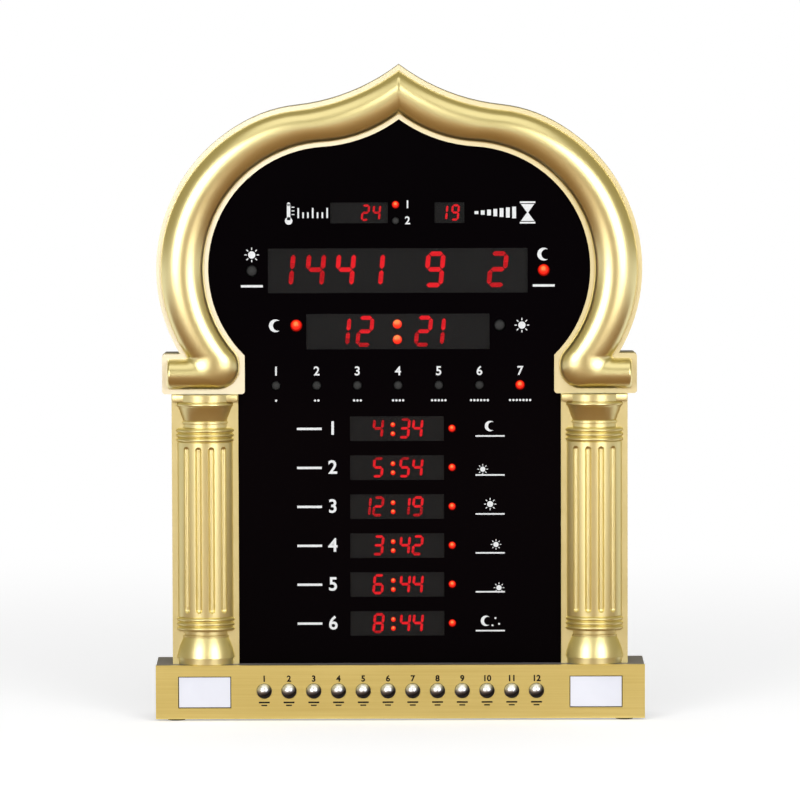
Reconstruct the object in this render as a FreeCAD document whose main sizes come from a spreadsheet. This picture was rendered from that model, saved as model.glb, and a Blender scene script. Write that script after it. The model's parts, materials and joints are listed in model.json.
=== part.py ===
import FreeCAD, Part
import Sketcher
import math
import os
import re

# Azan clock: a gold arch frame with two half columns on a flat base, a black
# display panel with red digits and lamps, and twelve chrome push buttons.
# Millimetres. X to the right, Y to the back, Z up. The origin is on the floor,
# in the middle of the footprint. Depths are counted back from the base's front.

SIZES = {
    # base
    "base_width": 336.0,
    "base_depth": 50.0,
    "base_height": 37.0,
    "foot_height": 1.5,
    "foot_radius": 6.0,
    "foot_inset": 14.0,
    "foot_front": 1.0,
    "foot_back": 2.0,
    "fascia_thickness": 3.0,
    "housing_inset": 0.4,
    "housing_wall": 2.2,
    "bottom_thickness": 2.4,
    "bottom_screw_gap": 8.0,
    "bottom_screw_back": 10.0,
    # pale plates in the base's front
    "plate_width": 35.2,
    "plate_height": 20.7,
    "plate_thickness": 0.8,
    "plate_recess": 1.6,
    "plate_gap": 0.6,
    "plate_offset": 134.4,
    "plate_rise": 18.4,
    # push buttons and their switches
    "button_radius": 5.0,
    "button_pitch": 17.0,
    "button_rise": 19.2,
    "button_proud": 3.2,
    "dome_height": 2.6,
    "button_clearance": 0.3,
    "button_flange": 6.2,
    "flange_thickness": 1.0,
    "button_travel": 0.8,
    "stem_radius": 1.6,
    "stem_length": 2.2,
    "plunger_radius": 1.75,
    "plunger_length": 2.6,
    "plunger_show": 1.4,
    "switch_side": 6.0,
    "switch_depth": 3.6,
    "switch_clearance": 0.3,
    "keypad_margin": 13.0,
    "keypad_height": 16.0,
    "board_thickness": 1.6,
    # arch outline: side circle, crown arc and ogee arc of the outer edge
    "arch_rise": 272.2,
    "outer_shift": 52.4,
    "outer_radius": 114.0,
    "crown_start_angle": 25.0,
    "crown_radius": 95.0,
    "crown_end_angle": 6.0,
    "ogee_radius": 140.0,
    # arch outline: side circle and ogee arc of the opening
    "inner_shift": 47.0,
    "inner_radius": 83.9,
    "inner_turn_angle": 3.5,
    "inner_ogee": 99.0,
    "neck_half": 106.1,
    # shoulders and rails
    "shoulder_top": 213.8,
    "shoulder_bottom": 186.3,
    "shoulder_round": 2.2,
    "rail_inner": 110.7,
    "rail_outer": 156.4,
    "rail_setback": 1.0,
    # depths
    "lip_setback": 9.0,
    "lip_thickness": 3.0,
    "panel_thickness": 2.0,
    "panel_overlap": 2.6,
    "panel_clearance": 0.2,
    "skirt_depth": 8.0,
    "skirt_wall": 2.0,
    "cover_depth": 20.0,
    "cover_wall": 2.0,
    "cover_inset": 0.6,
    # moulding
    "lip_width": 3.0,
    "leg_reach": 11.53,
    "leg_margin": 3.9,
    "leg_drop": 3.3,
    "leg_cover": 3.4,
    "neck_lip": 3.6,
    "heel_radius": 15.0,
    "neck_blend": 14.0,
    "crease_blend": 1.5,
    "relief_ratio": 0.68,
    "moulding_wall": 2.2,
    # columns
    "column_offset": 133.5,
    "column_axis": 13.0,
    "shaft_radius": 23.0,
    "ring_radius": 23.8,
    "neck_radius": 19.7,
    "fillet_radius": 20.4,
    "roll_radius": 23.5,
    "plinth_radius": 22.8,
    "plinth_height": 4.5,
    "bell_height": 14.0,
    "bell_bulge": 0.5,
    "bell_step": 0.2,
    "band_height": 1.6,
    "neck_height": 3.0,
    "ring_height": 3.2,
    "ring_groove": 1.3,
    "collar_height": 1.8,
    "column_wall": 2.4,
    "taper_height": 9.6,
    "roll_height": 3.6,
    "roll_bulge": 1.0,
    "abacus_height": 5.0,
    "abacus_half": 22.4,
    "abacus_relief": 4.5,
    "flute_radius": 2.1,
    "flute_step_angle": 22.5,
    "flute_margin": 3.0,
    "column_gap": 0.3,
    # display windows: width, height, centre across, centre above the base
    "date_width": 177.7,
    "date_height": 30.5,
    "date_gap": 41.85,
    "time_width": 125.4,
    "time_height": 24.2,
    "time_gap": 37.1,
    "temp_width": 39.2,
    "temp_across": 26.4,
    "small_height": 14.0,
    "small_gap": 39.65,
    "count_width": 20.1,
    "count_across": 35.5,
    "row_width": 64.2,
    "row_height": 16.9,
    "row_first": 161.95,
    "row_pitch": 26.9,
    "panel_shift": -1.0,
    "row_shift": -0.85,
    "filter_gap": 0.1,
    "module_margin": 1.0,
    "module_depth": 7.7,
    "segment_thickness": 0.3,
    "time_dot": 3.2,
    "time_dot_spread": 5.3,
    "time_dot_drop": 0.3,
    "time_dot_across": -0.4,
    "row_dot": 1.65,
    "row_dot_spread": 3.1,
    "row_dot_drop": 0.5,
    "row_dot_across": -2.8,
    # digits: height and slant
    "date_digit": 24.6,
    "date_digit_lift": 0.6,
    "time_digit": 21.2,
    "row_digit": 13.9,
    "small_digit": 11.2,
    "digit_slant_angle": 5.5,
    # round lamps
    "large_lamp": 4.0,
    "medium_lamp": 3.2,
    "small_lamp": 2.5,
    "lamp_proud": 0.8,
    "lamp_clearance": 0.15,
    "day_pitch": 27.9,
    "day_gap": 29.8,
    "side_lamp_across": 100.0,
    "clock_lamp_across": 69.7,
    "clock_lamp_lift": 4.15,
    "row_lamp_across": 36.9,
    "unit_lamp_across": 1.4,
    "unit_lamp_spread": 5.5,
    # boards
    "display_half": 122.0,
    "display_low": 10.0,
    "display_top": 328.0,
    "post_radius": 3.4,
    "post_across": 117.5,
    "post_low": 22.0,
    "post_high": 196.0,
    "main_width": 96.0,
    "main_height": 74.0,
    "main_across": 34.0,
    "main_rise": 150.0,
    "main_standoff": 5.0,
    "main_corner": 5.0,
    "chip_side": 12.0,
    "chip_height": 1.6,
    "cell_radius": 10.0,
    "cell_height": 3.2,
    "holder_wall": 1.4,
    "ribbon_width": 24.0,
    "ribbon_thickness": 0.8,
    "ribbon_clearance": 1.0,
    # loudspeaker
    "speaker_radius": 26.0,
    "speaker_across": -62.0,
    "speaker_rise": 150.0,
    "speaker_flange": 1.2,
    "speaker_basket": 7.0,
    "basket_wall": 1.0,
    "magnet_radius": 14.0,
    "magnet_height": 3.6,
    "cone_wall": 0.8,
    "cone_edge": 6.5,
    "rim_edge": 5.0,
    "grille_slot": 2.2,
    "grille_pitch": 6.0,
    "grille_margin": 4.8,
    # inlet and sensor
    "jack_width": 9.0,
    "jack_length": 12.0,
    "jack_bore": 3.2,
    "jack_floor": 2.0,
    "jack_clearance": 0.6,
    "jack_pin": 1.0,
    "pin_recess": 1.0,
    "jack_across": -110.0,
    "sensor_radius": 2.0,
    "sensor_recess": 0.4,
    "sensor_collar": 2.0,
    "sensor_across": 110.0,
    # hanging keyholes
    "keyhole_across": 60.0,
    "keyhole_rise": 262.0,
    "keyhole_radius": 4.2,
    "keyhole_slot": 2.2,
    "keyhole_length": 9.0,
    # screws
    "screw_radius": 1.45,
    "screw_clearance": 0.05,
    "screw_length": 8.0,
    "head_radius": 2.7,
    "head_height": 1.2,
    "recess_span": 3.2,
    "recess_width": 0.6,
    "post_floor": 4.0,
    "cover_post_high": 100.0,
    # how far a cutter passes the surface that it cuts
    "cut_overlap": 1.0,
}

doc = FreeCAD.newDocument("AzanClock")
sheet = doc.addObject("Spreadsheet::Sheet", "Sizes")
for line, (alias, number) in enumerate(SIZES.items(), start=1):
    sheet.set(f"A{line}", alias)
    sheet.set(f"B{line}", str(number))
    sheet.setAlias(f"B{line}", alias)
doc.recompute()

ALIASES = re.compile(r"\b(" + "|".join(sorted(SIZES, key=len, reverse=True)) + r")\b")
BACK = FreeCAD.Vector(0, 1, 0)
UP = FreeCAD.Vector(0, 0, 1)

# Places that many pieces share, written as expressions on the sheet's sizes.
FACE = "(button_proud - base_depth) / 2"
BASE_TOP = "(foot_height + base_height)"
LIP_FRONT = f"({FACE} + lip_setback)"
LIP_BACK = f"({LIP_FRONT} + lip_thickness)"
RAIL_FRONT = f"({LIP_FRONT} + rail_setback)"
PANEL_BACK = f"({LIP_BACK} + panel_thickness)"
MODULE_FRONT = f"({PANEL_BACK} + segment_thickness)"
BOARD_FRONT = f"({MODULE_FRONT} + module_depth)"
BOARD_BACK = f"({BOARD_FRONT} + board_thickness)"
SKIRT_BACK = f"({LIP_BACK} + skirt_depth)"
COVER_BACK = f"({SKIRT_BACK} + cover_depth)"
COVER_INNER = f"({COVER_BACK} - cover_wall)"
FASCIA_BACK = f"({FACE} + fascia_thickness)"
BUTTON_HEIGHT = "(foot_height + button_rise)"
STEM_END = f"({FASCIA_BACK} + button_clearance + flange_thickness + stem_length)"
SWITCH_FRONT = f"({STEM_END} + plunger_show)"
KEYPAD_FRONT = f"({SWITCH_FRONT} + switch_depth)"
FLOOR_TOP = "(foot_height + bottom_thickness)"
CREASE_DROP = "(arch_rise - shoulder_top + leg_cover - crease_blend)"
CREASE_REACH = "(outer_radius - lip_width + crease_blend)"
SHOULDER_HALF = f"(outer_shift + sqrt({CREASE_REACH} ^ 2 - {CREASE_DROP} ^ 2) + leg_reach + leg_margin)"
DAY_HEIGHT = f"({BASE_TOP} + row_first + day_gap)"
TIME_HEIGHT = f"({DAY_HEIGHT} + time_gap)"
DATE_HEIGHT = f"({TIME_HEIGHT} + date_gap)"
SMALL_HEIGHT = f"({DATE_HEIGHT} + small_gap)"
BUTTONS = 12
ROWS = 6
DAYS = 7


def linked(text):
    """The expression with every size's name pointing into the sheet."""
    return ALIASES.sub(r"Sizes.\1", str(text))


def value(text):
    """The number that an expression on the sizes gives."""
    return float(sheet.evalExpression(str(text)))


def bind(item, **places):
    """Ties properties of an object to expressions on the sizes."""
    for name, text in places.items():
        item.setExpression(name, linked(text))


def put(item, x="0", y="0", z="0"):
    """Ties an object's place to expressions on the sizes."""
    for axis, text in zip("xyz", (x, y, z)):
        item.setExpression(f"Placement.Base.{axis}", linked(text))


def block(name, x, y, z):
    """A box from the low and high end of each axis."""
    item = doc.addObject("Part::Box", name)
    bind(item, Length=f"{x[1]} - ({x[0]})", Width=f"{y[1]} - ({y[0]})", Height=f"{z[1]} - ({z[0]})")
    put(item, x[0], y[0], z[0])
    return item


def across(centre, width):
    """The low and high end of a span about its centre."""
    return f"(({centre}) - ({width}) / 2)", f"(({centre}) + ({width}) / 2)"


def rod(name, radius, x, z, y_low, y_high):
    """A round rod that runs front to back."""
    item = doc.addObject("Part::Cylinder", name)
    item.Placement.Rotation = FreeCAD.Rotation(FreeCAD.Vector(1, 0, 0), -90)
    bind(item, Radius=radius, Height=f"{y_high} - ({y_low})")
    put(item, x, y_low, z)
    return item


def pillar(name, radius, x, y, z_low, z_high):
    """A round upright rod."""
    item = doc.addObject("Part::Cylinder", name)
    bind(item, Radius=radius, Height=f"{z_high} - ({z_low})")
    put(item, x, y, z_low)
    return item


def funnel(name, radii, x, z, y_low, y_high):
    """A cone that runs front to back, from its front radius to its back radius."""
    item = doc.addObject("Part::Cone", name)
    item.Placement.Rotation = FreeCAD.Rotation(FreeCAD.Vector(1, 0, 0), -90)
    bind(item, Radius1=radii[0], Radius2=radii[1], Height=f"{y_high} - ({y_low})")
    put(item, x, y_low, z)
    return item


def ball(name, radius, x, y, z):
    """A whole sphere."""
    item = doc.addObject("Part::Sphere", name)
    bind(item, Radius=radius)
    put(item, x, y, z)
    return item


def joined(name, items):
    """Several shapes as one solid."""
    item = doc.addObject("Part::MultiFuse", name)
    item.Shapes = items
    item.Refine = True
    return item


def gathered(name, items):
    """Several separate solids in one sub-part."""
    item = doc.addObject("Part::Compound", name)
    item.Links = items
    return item


def cut(name, base, tools):
    """A shape less its tools."""
    item = doc.addObject("Part::Cut", name)
    item.Base = base
    item.Tool = tools[0] if len(tools) == 1 else gathered(f"{name}Tools", tools)
    return item


def shaped(name, shape):
    """A sub-part whose shape is worked out in code."""
    item = doc.addObject("Part::Feature", name)
    item.Shape = shape
    item.Placement = FreeCAD.Placement(FreeCAD.Vector(0, 0, 0), FreeCAD.Rotation())
    return item


def fused(shapes):
    """One shape from many."""
    return shapes[0].multiFuse(shapes[1:]) if len(shapes) > 1 else shapes[0]


# Outlines in the upright plane, as edges from the tip down the right side.

def spot(x, z):
    """A point of the upright plane."""
    return FreeCAD.Vector(x, 0, z)


def on_arc(centre, radius, angle):
    """The point of a circle at an angle from straight up, turning to the right."""
    turn = math.radians(angle)
    return spot(centre.x + radius * math.sin(turn), centre.z + radius * math.cos(turn))


def arc(centre, radius, start, end):
    """An arc of a circle between two angles from straight up."""
    middle = on_arc(centre, radius, (start + end) / 2)
    return Part.Arc(on_arc(centre, radius, start), middle, on_arc(centre, radius, end)).toShape()


def chain(points):
    """Straight edges through a row of points."""
    return [Part.LineSegment(a, b).toShape() for a, b in zip(points, points[1:])]


def closed(right_side):
    """The face inside a right half outline and its mirror image."""
    ends = right_side[-1].Vertexes[-1].Point
    left_side = [edge.mirror(FreeCAD.Vector(), FreeCAD.Vector(1, 0, 0)) for edge in right_side]
    floor_line = chain([ends, spot(-ends.x, ends.z)])
    return Part.Face(Part.Wire(Part.__sortEdges__(right_side + left_side + floor_line)))


def outer_arcs(inset):
    """Circle, crown and ogee of the arch's outer edge, moved inwards: centre, radius and angles."""
    side = spot(value("outer_shift"), value(f"{BASE_TOP} + arch_rise"))
    start, end = value("crown_start_angle"), value("crown_end_angle")
    crown = on_arc(side, value("outer_radius - crown_radius"), start)
    ogee = on_arc(crown, value("crown_radius + ogee_radius"), end)
    sweep = value("ogee_radius") + inset
    tip = math.degrees(math.asin(ogee.x / sweep))
    return (
        (ogee, sweep, 180 + tip, 180 + end),
        (crown, value("crown_radius") - inset, end, start),
        (side, value("outer_radius") - inset, start, 90.0),
    )


def inner_arcs(growth):
    """Ogee and circle of the opening's edge, moved outwards: centre, radius and angles."""
    side = spot(value("inner_shift"), value(f"{BASE_TOP} + arch_rise"))
    turn = value("inner_turn_angle")
    ogee = on_arc(side, value("inner_radius + inner_ogee"), turn)
    sweep = value("inner_ogee") - growth
    tip = math.degrees(math.asin(ogee.x / sweep))
    return (
        (ogee, sweep, 180 + tip, 180 + turn),
        (side, value("inner_radius") + growth, turn, 90.0),
    )


def body_face(inset, floor):
    """The whole silhouette above the base, moved inwards."""
    ogee, crown, side = outer_arcs(inset)
    top = value(f"{BASE_TOP} + shoulder_top") - inset
    foot = math.degrees(math.acos((top - side[0].z) / side[1]))
    edges = [arc(*ogee), arc(*crown), arc(side[0], side[1], side[2], foot)]
    under = value(f"{BASE_TOP} + shoulder_bottom") + inset
    reach = value(SHOULDER_HALF) - inset
    rail = value("rail_outer") - inset
    turn = value("shoulder_round")
    edges += chain([on_arc(side[0], side[1], foot), spot(reach - turn, top)])
    edges.append(arc(spot(reach - turn, top - turn), turn, 0.0, 90.0))
    edges += chain([spot(reach, top - turn), spot(reach, under + turn)])
    edges.append(arc(spot(reach - turn, under + turn), turn, 90.0, 180.0))
    return closed(edges + chain([spot(reach - turn, under), spot(rail, under), spot(rail, floor)]))


def opening_face(growth, floor):
    """The opening that shows the panel, grown outwards."""
    ogee, side = inner_arcs(growth)
    neck = value("neck_half") + growth
    foot = 180 - math.degrees(math.asin((neck - side[0].x) / side[1]))
    edges = [arc(*ogee), arc(side[0], side[1], side[2], foot)]
    under = value(f"{BASE_TOP} + shoulder_bottom") + growth
    rail = value("rail_inner") + growth
    turn = value("shoulder_round")
    edges += chain([on_arc(side[0], side[1], foot), spot(neck, under + turn)])
    edges.append(arc(spot(neck + turn, under + turn), turn, 270.0, 180.0))
    return closed(edges + chain([spot(neck + turn, under), spot(rail, under), spot(rail, floor)]))


def prism(face, y_low, y_high):
    """A face of the upright plane carried from one depth to another."""
    solid = face.extrude(BACK * (value(y_high) - value(y_low)))
    solid.translate(BACK * value(y_low))
    return solid


# Screws, with a cross recess in each head.

CROSS = (("recess_span", "recess_width"), ("recess_width", "recess_span"))

def screw(name, x, z, seat):
    """A screw along Y whose head's underside is on its seat, driven forwards."""
    head = rod(f"{name}Head", "head_radius", x, z, seat, f"{seat} + head_height")
    shank = rod(f"{name}Shank", "screw_radius", x, z, f"{seat} - screw_length", seat)
    whole = joined(f"{name}Body", [head, shank])
    slots = []
    for number, (wide, tall) in enumerate(CROSS):
        slots.append(block(
            f"{name}Slot{number}", across(x, wide),
            (f"({seat} + head_height / 2)", f"({seat} + head_height * 2)"), across(z, tall)))
    return cut(name, whole, slots)


def upright_screw(name, x, y, seat):
    """A screw along Z whose head's upper side is on its seat, driven upwards."""
    head = pillar(f"{name}Head", "head_radius", x, y, f"{seat} - head_height", seat)
    shank = pillar(f"{name}Shank", "screw_radius", x, y, seat, f"{seat} + screw_length")
    whole = joined(f"{name}Body", [head, shank])
    slots = []
    for number, (wide, deep) in enumerate(CROSS):
        slots.append(block(
            f"{name}Slot{number}", across(x, wide), across(y, deep),
            (f"({seat} - head_height * 2)", f"({seat} - head_height / 2)")))
    return cut(name, whole, slots)


PILOT = "(screw_radius + screw_clearance)"
SCREW_HOLE = "(screw_radius + button_clearance)"
HEAD_HOLE = "(head_radius + button_clearance)"


# Base: fascia, housing, bottom plate and feet.

def origin_plane(body, role):
    """One of a body's own origin planes."""
    return [item for item in body.Origin.OriginFeatures if item.Role == role][0]


def sketch_on(body, name, across_text="0", up_text="0"):
    """A sketch on a body's upright plane, with its own centre."""
    sketch = body.newObject("Sketcher::SketchObject", name)
    sketch.AttachmentSupport = (origin_plane(body, "XZ_Plane"), [""])
    sketch.MapMode = "FlatFace"
    sketch.setExpression("AttachmentOffset.Base.x", linked(across_text))
    sketch.setExpression("AttachmentOffset.Base.y", linked(up_text))
    return sketch


def draw_rectangle(sketch, width, height):
    """A rectangle about the sketch's centre with two bound sizes."""
    half_width, half_height = value(width) / 2, value(height) / 2
    corners = [(-half_width, -half_height), (half_width, -half_height),
               (half_width, half_height), (-half_width, half_height)]
    points = [FreeCAD.Vector(x, y, 0) for x, y in corners]
    for start, end in zip(points, points[1:] + points[:1]):
        sketch.addGeometry(Part.LineSegment(start, end))
    for line in range(4):
        sketch.addConstraint(Sketcher.Constraint("Coincident", line, 2, (line + 1) % 4, 1))
    for line, direction in enumerate(("Horizontal", "Vertical", "Horizontal", "Vertical")):
        sketch.addConstraint(Sketcher.Constraint(direction, line))
    sketch.addConstraint(Sketcher.Constraint("Symmetric", 0, 1, 1, 2, -1, 1))
    wide = sketch.addConstraint(Sketcher.Constraint("DistanceX", 0, 1, 0, 2, 2 * half_width))
    tall = sketch.addConstraint(Sketcher.Constraint("DistanceY", 1, 1, 1, 2, 2 * half_height))
    sketch.setExpression(f"Constraints[{wide}]", linked(width))
    sketch.setExpression(f"Constraints[{tall}]", linked(height))


def draw_circle(sketch, radius):
    """A circle about the sketch's centre with a bound radius."""
    circle = Part.Circle(FreeCAD.Vector(0, 0, 0), FreeCAD.Vector(0, 0, 1), value(radius))
    sketch.addGeometry(circle)
    sketch.addConstraint(Sketcher.Constraint("Coincident", 0, 3, -1, 1))
    size = sketch.addConstraint(Sketcher.Constraint("Radius", 0, value(radius)))
    sketch.setExpression(f"Constraints[{size}]", linked(radius))


def pad(body, sketch, length):
    """A pad towards the back."""
    item = body.newObject("PartDesign::Pad", f"{sketch.Name}Pad")
    item.Profile = sketch
    item.Reversed = True
    bind(item, Length=length)
    return item


def pocket(body, sketch, depth):
    """A pocket cut in from the front."""
    item = body.newObject("PartDesign::Pocket", f"{sketch.Name}Pocket")
    item.Profile = sketch
    bind(item, Length=depth)
    return item


def base_front():
    """The gold fascia with its button holes, plate recesses and keypad posts."""
    body = doc.addObject("PartDesign::Body", "base_front")
    outline = sketch_on(body, "Fascia")
    draw_rectangle(outline, "base_width", "base_height")
    pad(body, outline, "fascia_thickness")
    middle = "base_height / 2"
    for side, name in ((-1, "Left"), (1, "Right")):
        recess = sketch_on(body, f"{name}Recess", f"{side} * plate_offset", f"plate_rise - {middle}")
        draw_rectangle(recess, "plate_width + 2 * plate_gap", "plate_height + 2 * plate_gap")
        pocket(body, recess, "plate_recess")
        post = sketch_on(body, f"{name}Post", f"{side} * ({KEYPAD_POST})", f"button_rise - {middle}")
        bind_depth = linked("-fascia_thickness")
        post.setExpression("AttachmentOffset.Base.z", bind_depth)
        draw_circle(post, "post_radius")
        pad(body, post, f"{KEYPAD_FRONT} - {FASCIA_BACK}")
        pilot = sketch_on(body, f"{name}Pilot", f"{side} * ({KEYPAD_POST})", f"button_rise - {middle}")
        pilot.setExpression("AttachmentOffset.Base.z", bind_depth)
        draw_circle(pilot, PILOT)
        pocket(body, pilot, f"{KEYPAD_FRONT} - {FASCIA_BACK}")
    first = f"-button_pitch * {(BUTTONS - 1) / 2}"
    hole = sketch_on(body, "ButtonHole", first, f"button_rise - {middle}")
    draw_circle(hole, "button_radius + button_clearance")
    holes = pocket(body, hole, "fascia_thickness")
    row = body.newObject("PartDesign::LinearPattern", "ButtonHoles")
    row.Originals = [holes]
    row.Direction = (hole, ["H_Axis"])
    row.Occurrences = BUTTONS
    bind(row, Length=f"button_pitch * {BUTTONS - 1}")
    body.Tip = row
    put(body, "0", FACE, f"foot_height + {middle}")
    return body


KEYPAD_POST = f"(button_pitch * {(BUTTONS - 1) / 2} + keypad_margin - post_radius)"
HOUSING = across("0", "base_width - 2 * housing_inset")
HOUSING_BACK = f"({FACE} + base_depth)"
HOUSING_ROOM = across("0", "base_width - 2 * housing_inset - 2 * housing_wall")
BOTTOM_SCREWS = [
    (f"{side} * ({far})", f"({FACE} + base_depth / 2 + {deep})")
    for side in (-1, 1)
    for far, deep in (
        ("base_width / 2 - foot_inset - bottom_screw_gap", "0"), ("base_width / 4", "bottom_screw_back"))]
BODY_SCREWS = [
    (f"{side} * ({far})", f"({SKIRT_BACK} + cover_depth / 2)")
    for side in (-1, 1) for far in ("column_offset", "column_offset / 2")]
RIBBON_TOP = f"({BOARD_BACK} + ribbon_thickness)"
RIBBON_WAY = across("0", "ribbon_width + 2 * ribbon_clearance")
RIBBON_DEPTH = (f"({BOARD_BACK} - ribbon_clearance)", f"({RIBBON_TOP} + ribbon_clearance)")


def base_housing():
    """The grey cover of the base, with posts for the bottom plate's screws."""
    outer = block("HousingOuter", HOUSING, (FASCIA_BACK, HOUSING_BACK), (FLOOR_TOP, BASE_TOP))
    room = block("HousingRoom", HOUSING_ROOM,
                 (f"{FASCIA_BACK} - cut_overlap", f"{HOUSING_BACK} - housing_wall"),
                 (f"{FLOOR_TOP} - cut_overlap", f"{BASE_TOP} - housing_wall"))
    shell = cut("HousingShell", outer, [room])
    posts = [pillar(f"HousingPost{n}", "post_radius", x, y, FLOOR_TOP, f"{BASE_TOP} - housing_wall / 2")
             for n, (x, y) in enumerate(BOTTOM_SCREWS)]
    pilots = [pillar(f"HousingPilot{n}", PILOT, x, y, f"{FLOOR_TOP} - cut_overlap",
                     f"{FLOOR_TOP} + screw_length + cut_overlap") for n, (x, y) in enumerate(BOTTOM_SCREWS)]
    top = (f"{BASE_TOP} - housing_wall - cut_overlap", f"{BASE_TOP} + cut_overlap")
    back = (f"{HOUSING_BACK} - housing_wall - cut_overlap", f"{HOUSING_BACK} + cut_overlap")
    holes = [pillar(f"HousingHole{n}", SCREW_HOLE, x, y, *top) for n, (x, y) in enumerate(BODY_SCREWS)]
    slot = block("HousingRibbonSlot", RIBBON_WAY, RIBBON_DEPTH, top)
    jack_mouth = rod("HousingJackMouth", "jack_bore + jack_clearance", "jack_across", BUTTON_HEIGHT, *back)
    sensor_hole = rod("HousingSensorHole", "sensor_radius + button_clearance", "sensor_across",
                      BUTTON_HEIGHT, *back)
    whole = joined("HousingWhole", [shell] + posts)
    return cut("base_housing", whole, pilots + holes + [slot, jack_mouth, sensor_hole])


def base_bottom():
    """The bottom plate, with sunk holes for its screws."""
    plate = block("BottomPlate", HOUSING, (FASCIA_BACK, HOUSING_BACK), ("foot_height", FLOOR_TOP))
    tools = []
    for number, (x, y) in enumerate(BOTTOM_SCREWS):
        below = "(foot_height - cut_overlap)"
        tools.append(pillar(f"BottomHole{number}", SCREW_HOLE, x, y, below, f"{FLOOR_TOP} + cut_overlap"))
        tools.append(pillar(f"BottomSink{number}", HEAD_HOLE, x, y, below, "foot_height + head_height"))
    return cut("base_bottom", plate, tools)


def base_screws():
    """Screws of the bottom plate and of the upright body."""
    screws = [upright_screw(f"BottomScrew{n}", x, y, "(foot_height + head_height)")
              for n, (x, y) in enumerate(BOTTOM_SCREWS)]
    screws += [upright_screw(f"BodyScrew{n}", x, y, f"({BASE_TOP} - housing_wall)")
               for n, (x, y) in enumerate(BODY_SCREWS)]
    return gathered("base_screws", screws)


def rubber_feet():
    """Four round feet under the bottom plate."""
    feet = []
    for side in (-1, 1):
        x = f"{side} * (base_width / 2 - foot_inset)"
        front = f"({FASCIA_BACK} + foot_radius + foot_front)"
        back = f"({HOUSING_BACK} - foot_radius - foot_back)"
        for end, y in enumerate((front, back)):
            name = f"Foot{'Left' if side < 0 else 'Right'}{end}"
            feet.append(pillar(name, "foot_radius", x, y, "0", "foot_height"))
    return gathered("rubber_feet", feet)


def label_plate(name, side):
    """A pale plate lying in a recess of the fascia."""
    low = f"({FACE} + plate_recess - plate_thickness)"
    return block(name, across(f"{side} * plate_offset", "plate_width"),
                 (low, f"{FACE} + plate_recess"), across("(foot_height + plate_rise)", "plate_height"))


# Buttons, their switches and the keypad board.

def button_place(number):
    """How far across the base a button lies."""
    return f"(button_pitch * {number - (BUTTONS + 1) / 2})"


def button(number):
    """A chrome button: domed cap, flange behind the fascia and stem."""
    x = button_place(number)
    name = f"Button{number}"
    curve = "((button_radius ^ 2 + dome_height ^ 2) / (2 * dome_height))"
    tip = f"({FACE} - button_proud)"
    sphere = ball(f"{name}Ball", curve, x, f"{tip} + {curve}", BUTTON_HEIGHT)
    crown = rod(f"{name}Crown", "button_radius", x, BUTTON_HEIGHT, tip, f"{tip} + dome_height")
    dome = doc.addObject("Part::Common", f"{name}Dome")
    dome.Base = sphere
    dome.Tool = crown
    flange_front = f"({FASCIA_BACK} + button_clearance)"
    flange_back = f"({flange_front} + flange_thickness)"
    shank = rod(f"{name}Shank", "button_radius", x, BUTTON_HEIGHT, f"{tip} + dome_height", flange_front)
    flange = rod(f"{name}Flange", "button_flange", x, BUTTON_HEIGHT, flange_front, flange_back)
    stem = rod(f"{name}Stem", "stem_radius", x, BUTTON_HEIGHT, flange_back, STEM_END)
    return joined(f"button_{number:02d}", [dome, shank, flange, stem])


def plunger(number):
    """The moving pin of a switch, which the button's stem pushes."""
    return rod(f"plunger_{number:02d}", "plunger_radius", button_place(number), BUTTON_HEIGHT,
               STEM_END, f"{STEM_END} + plunger_length")


def switch_bodies():
    """Twelve square switches, each with a well for its plunger."""
    switches = []
    for number in range(1, BUTTONS + 1):
        x = button_place(number)
        case = block(f"Switch{number}Case", across(x, "switch_side"), (SWITCH_FRONT, KEYPAD_FRONT),
                     across(BUTTON_HEIGHT, "switch_side"))
        well = rod(f"Switch{number}Well", "plunger_radius + switch_clearance", x, BUTTON_HEIGHT,
                   f"{SWITCH_FRONT} - cut_overlap",
                   f"{STEM_END} + plunger_length + button_travel + switch_clearance")
        switches.append(cut(f"Switch{number}", case, [well]))
    return gathered("switch_bodies", switches)


def keypad_board():
    """The board behind the switches."""
    span = across("0", f"button_pitch * {BUTTONS - 1} + 2 * keypad_margin")
    plate = block("KeypadPlate", span, (KEYPAD_FRONT, f"{KEYPAD_FRONT} + board_thickness"),
                  across(BUTTON_HEIGHT, "keypad_height"))
    holes = [rod(f"KeypadHole{side}", SCREW_HOLE, f"{side} * {KEYPAD_POST}", BUTTON_HEIGHT,
                 f"{KEYPAD_FRONT} - cut_overlap", f"{KEYPAD_FRONT} + board_thickness + cut_overlap")
             for side in (-1, 1)]
    return cut("keypad_board", plate, holes)


# Upright body: bezel, panel, rear cover.

BAND_SPOTS = (38.0, 78.0, 112.0)


def cover_spots():
    """Places of the screws that hold the rear cover: across and height."""
    middle = spot(value("(inner_shift + outer_shift) / 2"), value(f"{BASE_TOP} + arch_rise"))
    radius = value("(inner_radius + panel_overlap + outer_radius - skirt_wall) / 2")
    places = [on_arc(middle, radius, angle) for angle in BAND_SPOTS]
    rail = value("(display_half + rail_outer - skirt_wall) / 2")
    places += [spot(rail, value(f"{BASE_TOP} + {rise}")) for rise in ("post_low", "cover_post_high")]
    return [(side * place.x, place.z) for side in (-1, 1) for place in places]


def board_spots():
    """Places of the posts that carry the display board: across and height."""
    heights = ("post_low", "(post_low + post_high) / 2", "post_high")
    return [(f"{side} * post_across", f"({BASE_TOP} + {rise})") for side in (-1, 1) for rise in heights]


def solid_rod(radius, x, z, y_low, y_high):
    """A round rod from front to back as a plain shape."""
    start = FreeCAD.Vector(value(x), value(y_low), value(z))
    return Part.makeCylinder(value(radius), value(f"{y_high} - ({y_low})"), start, BACK)


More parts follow.
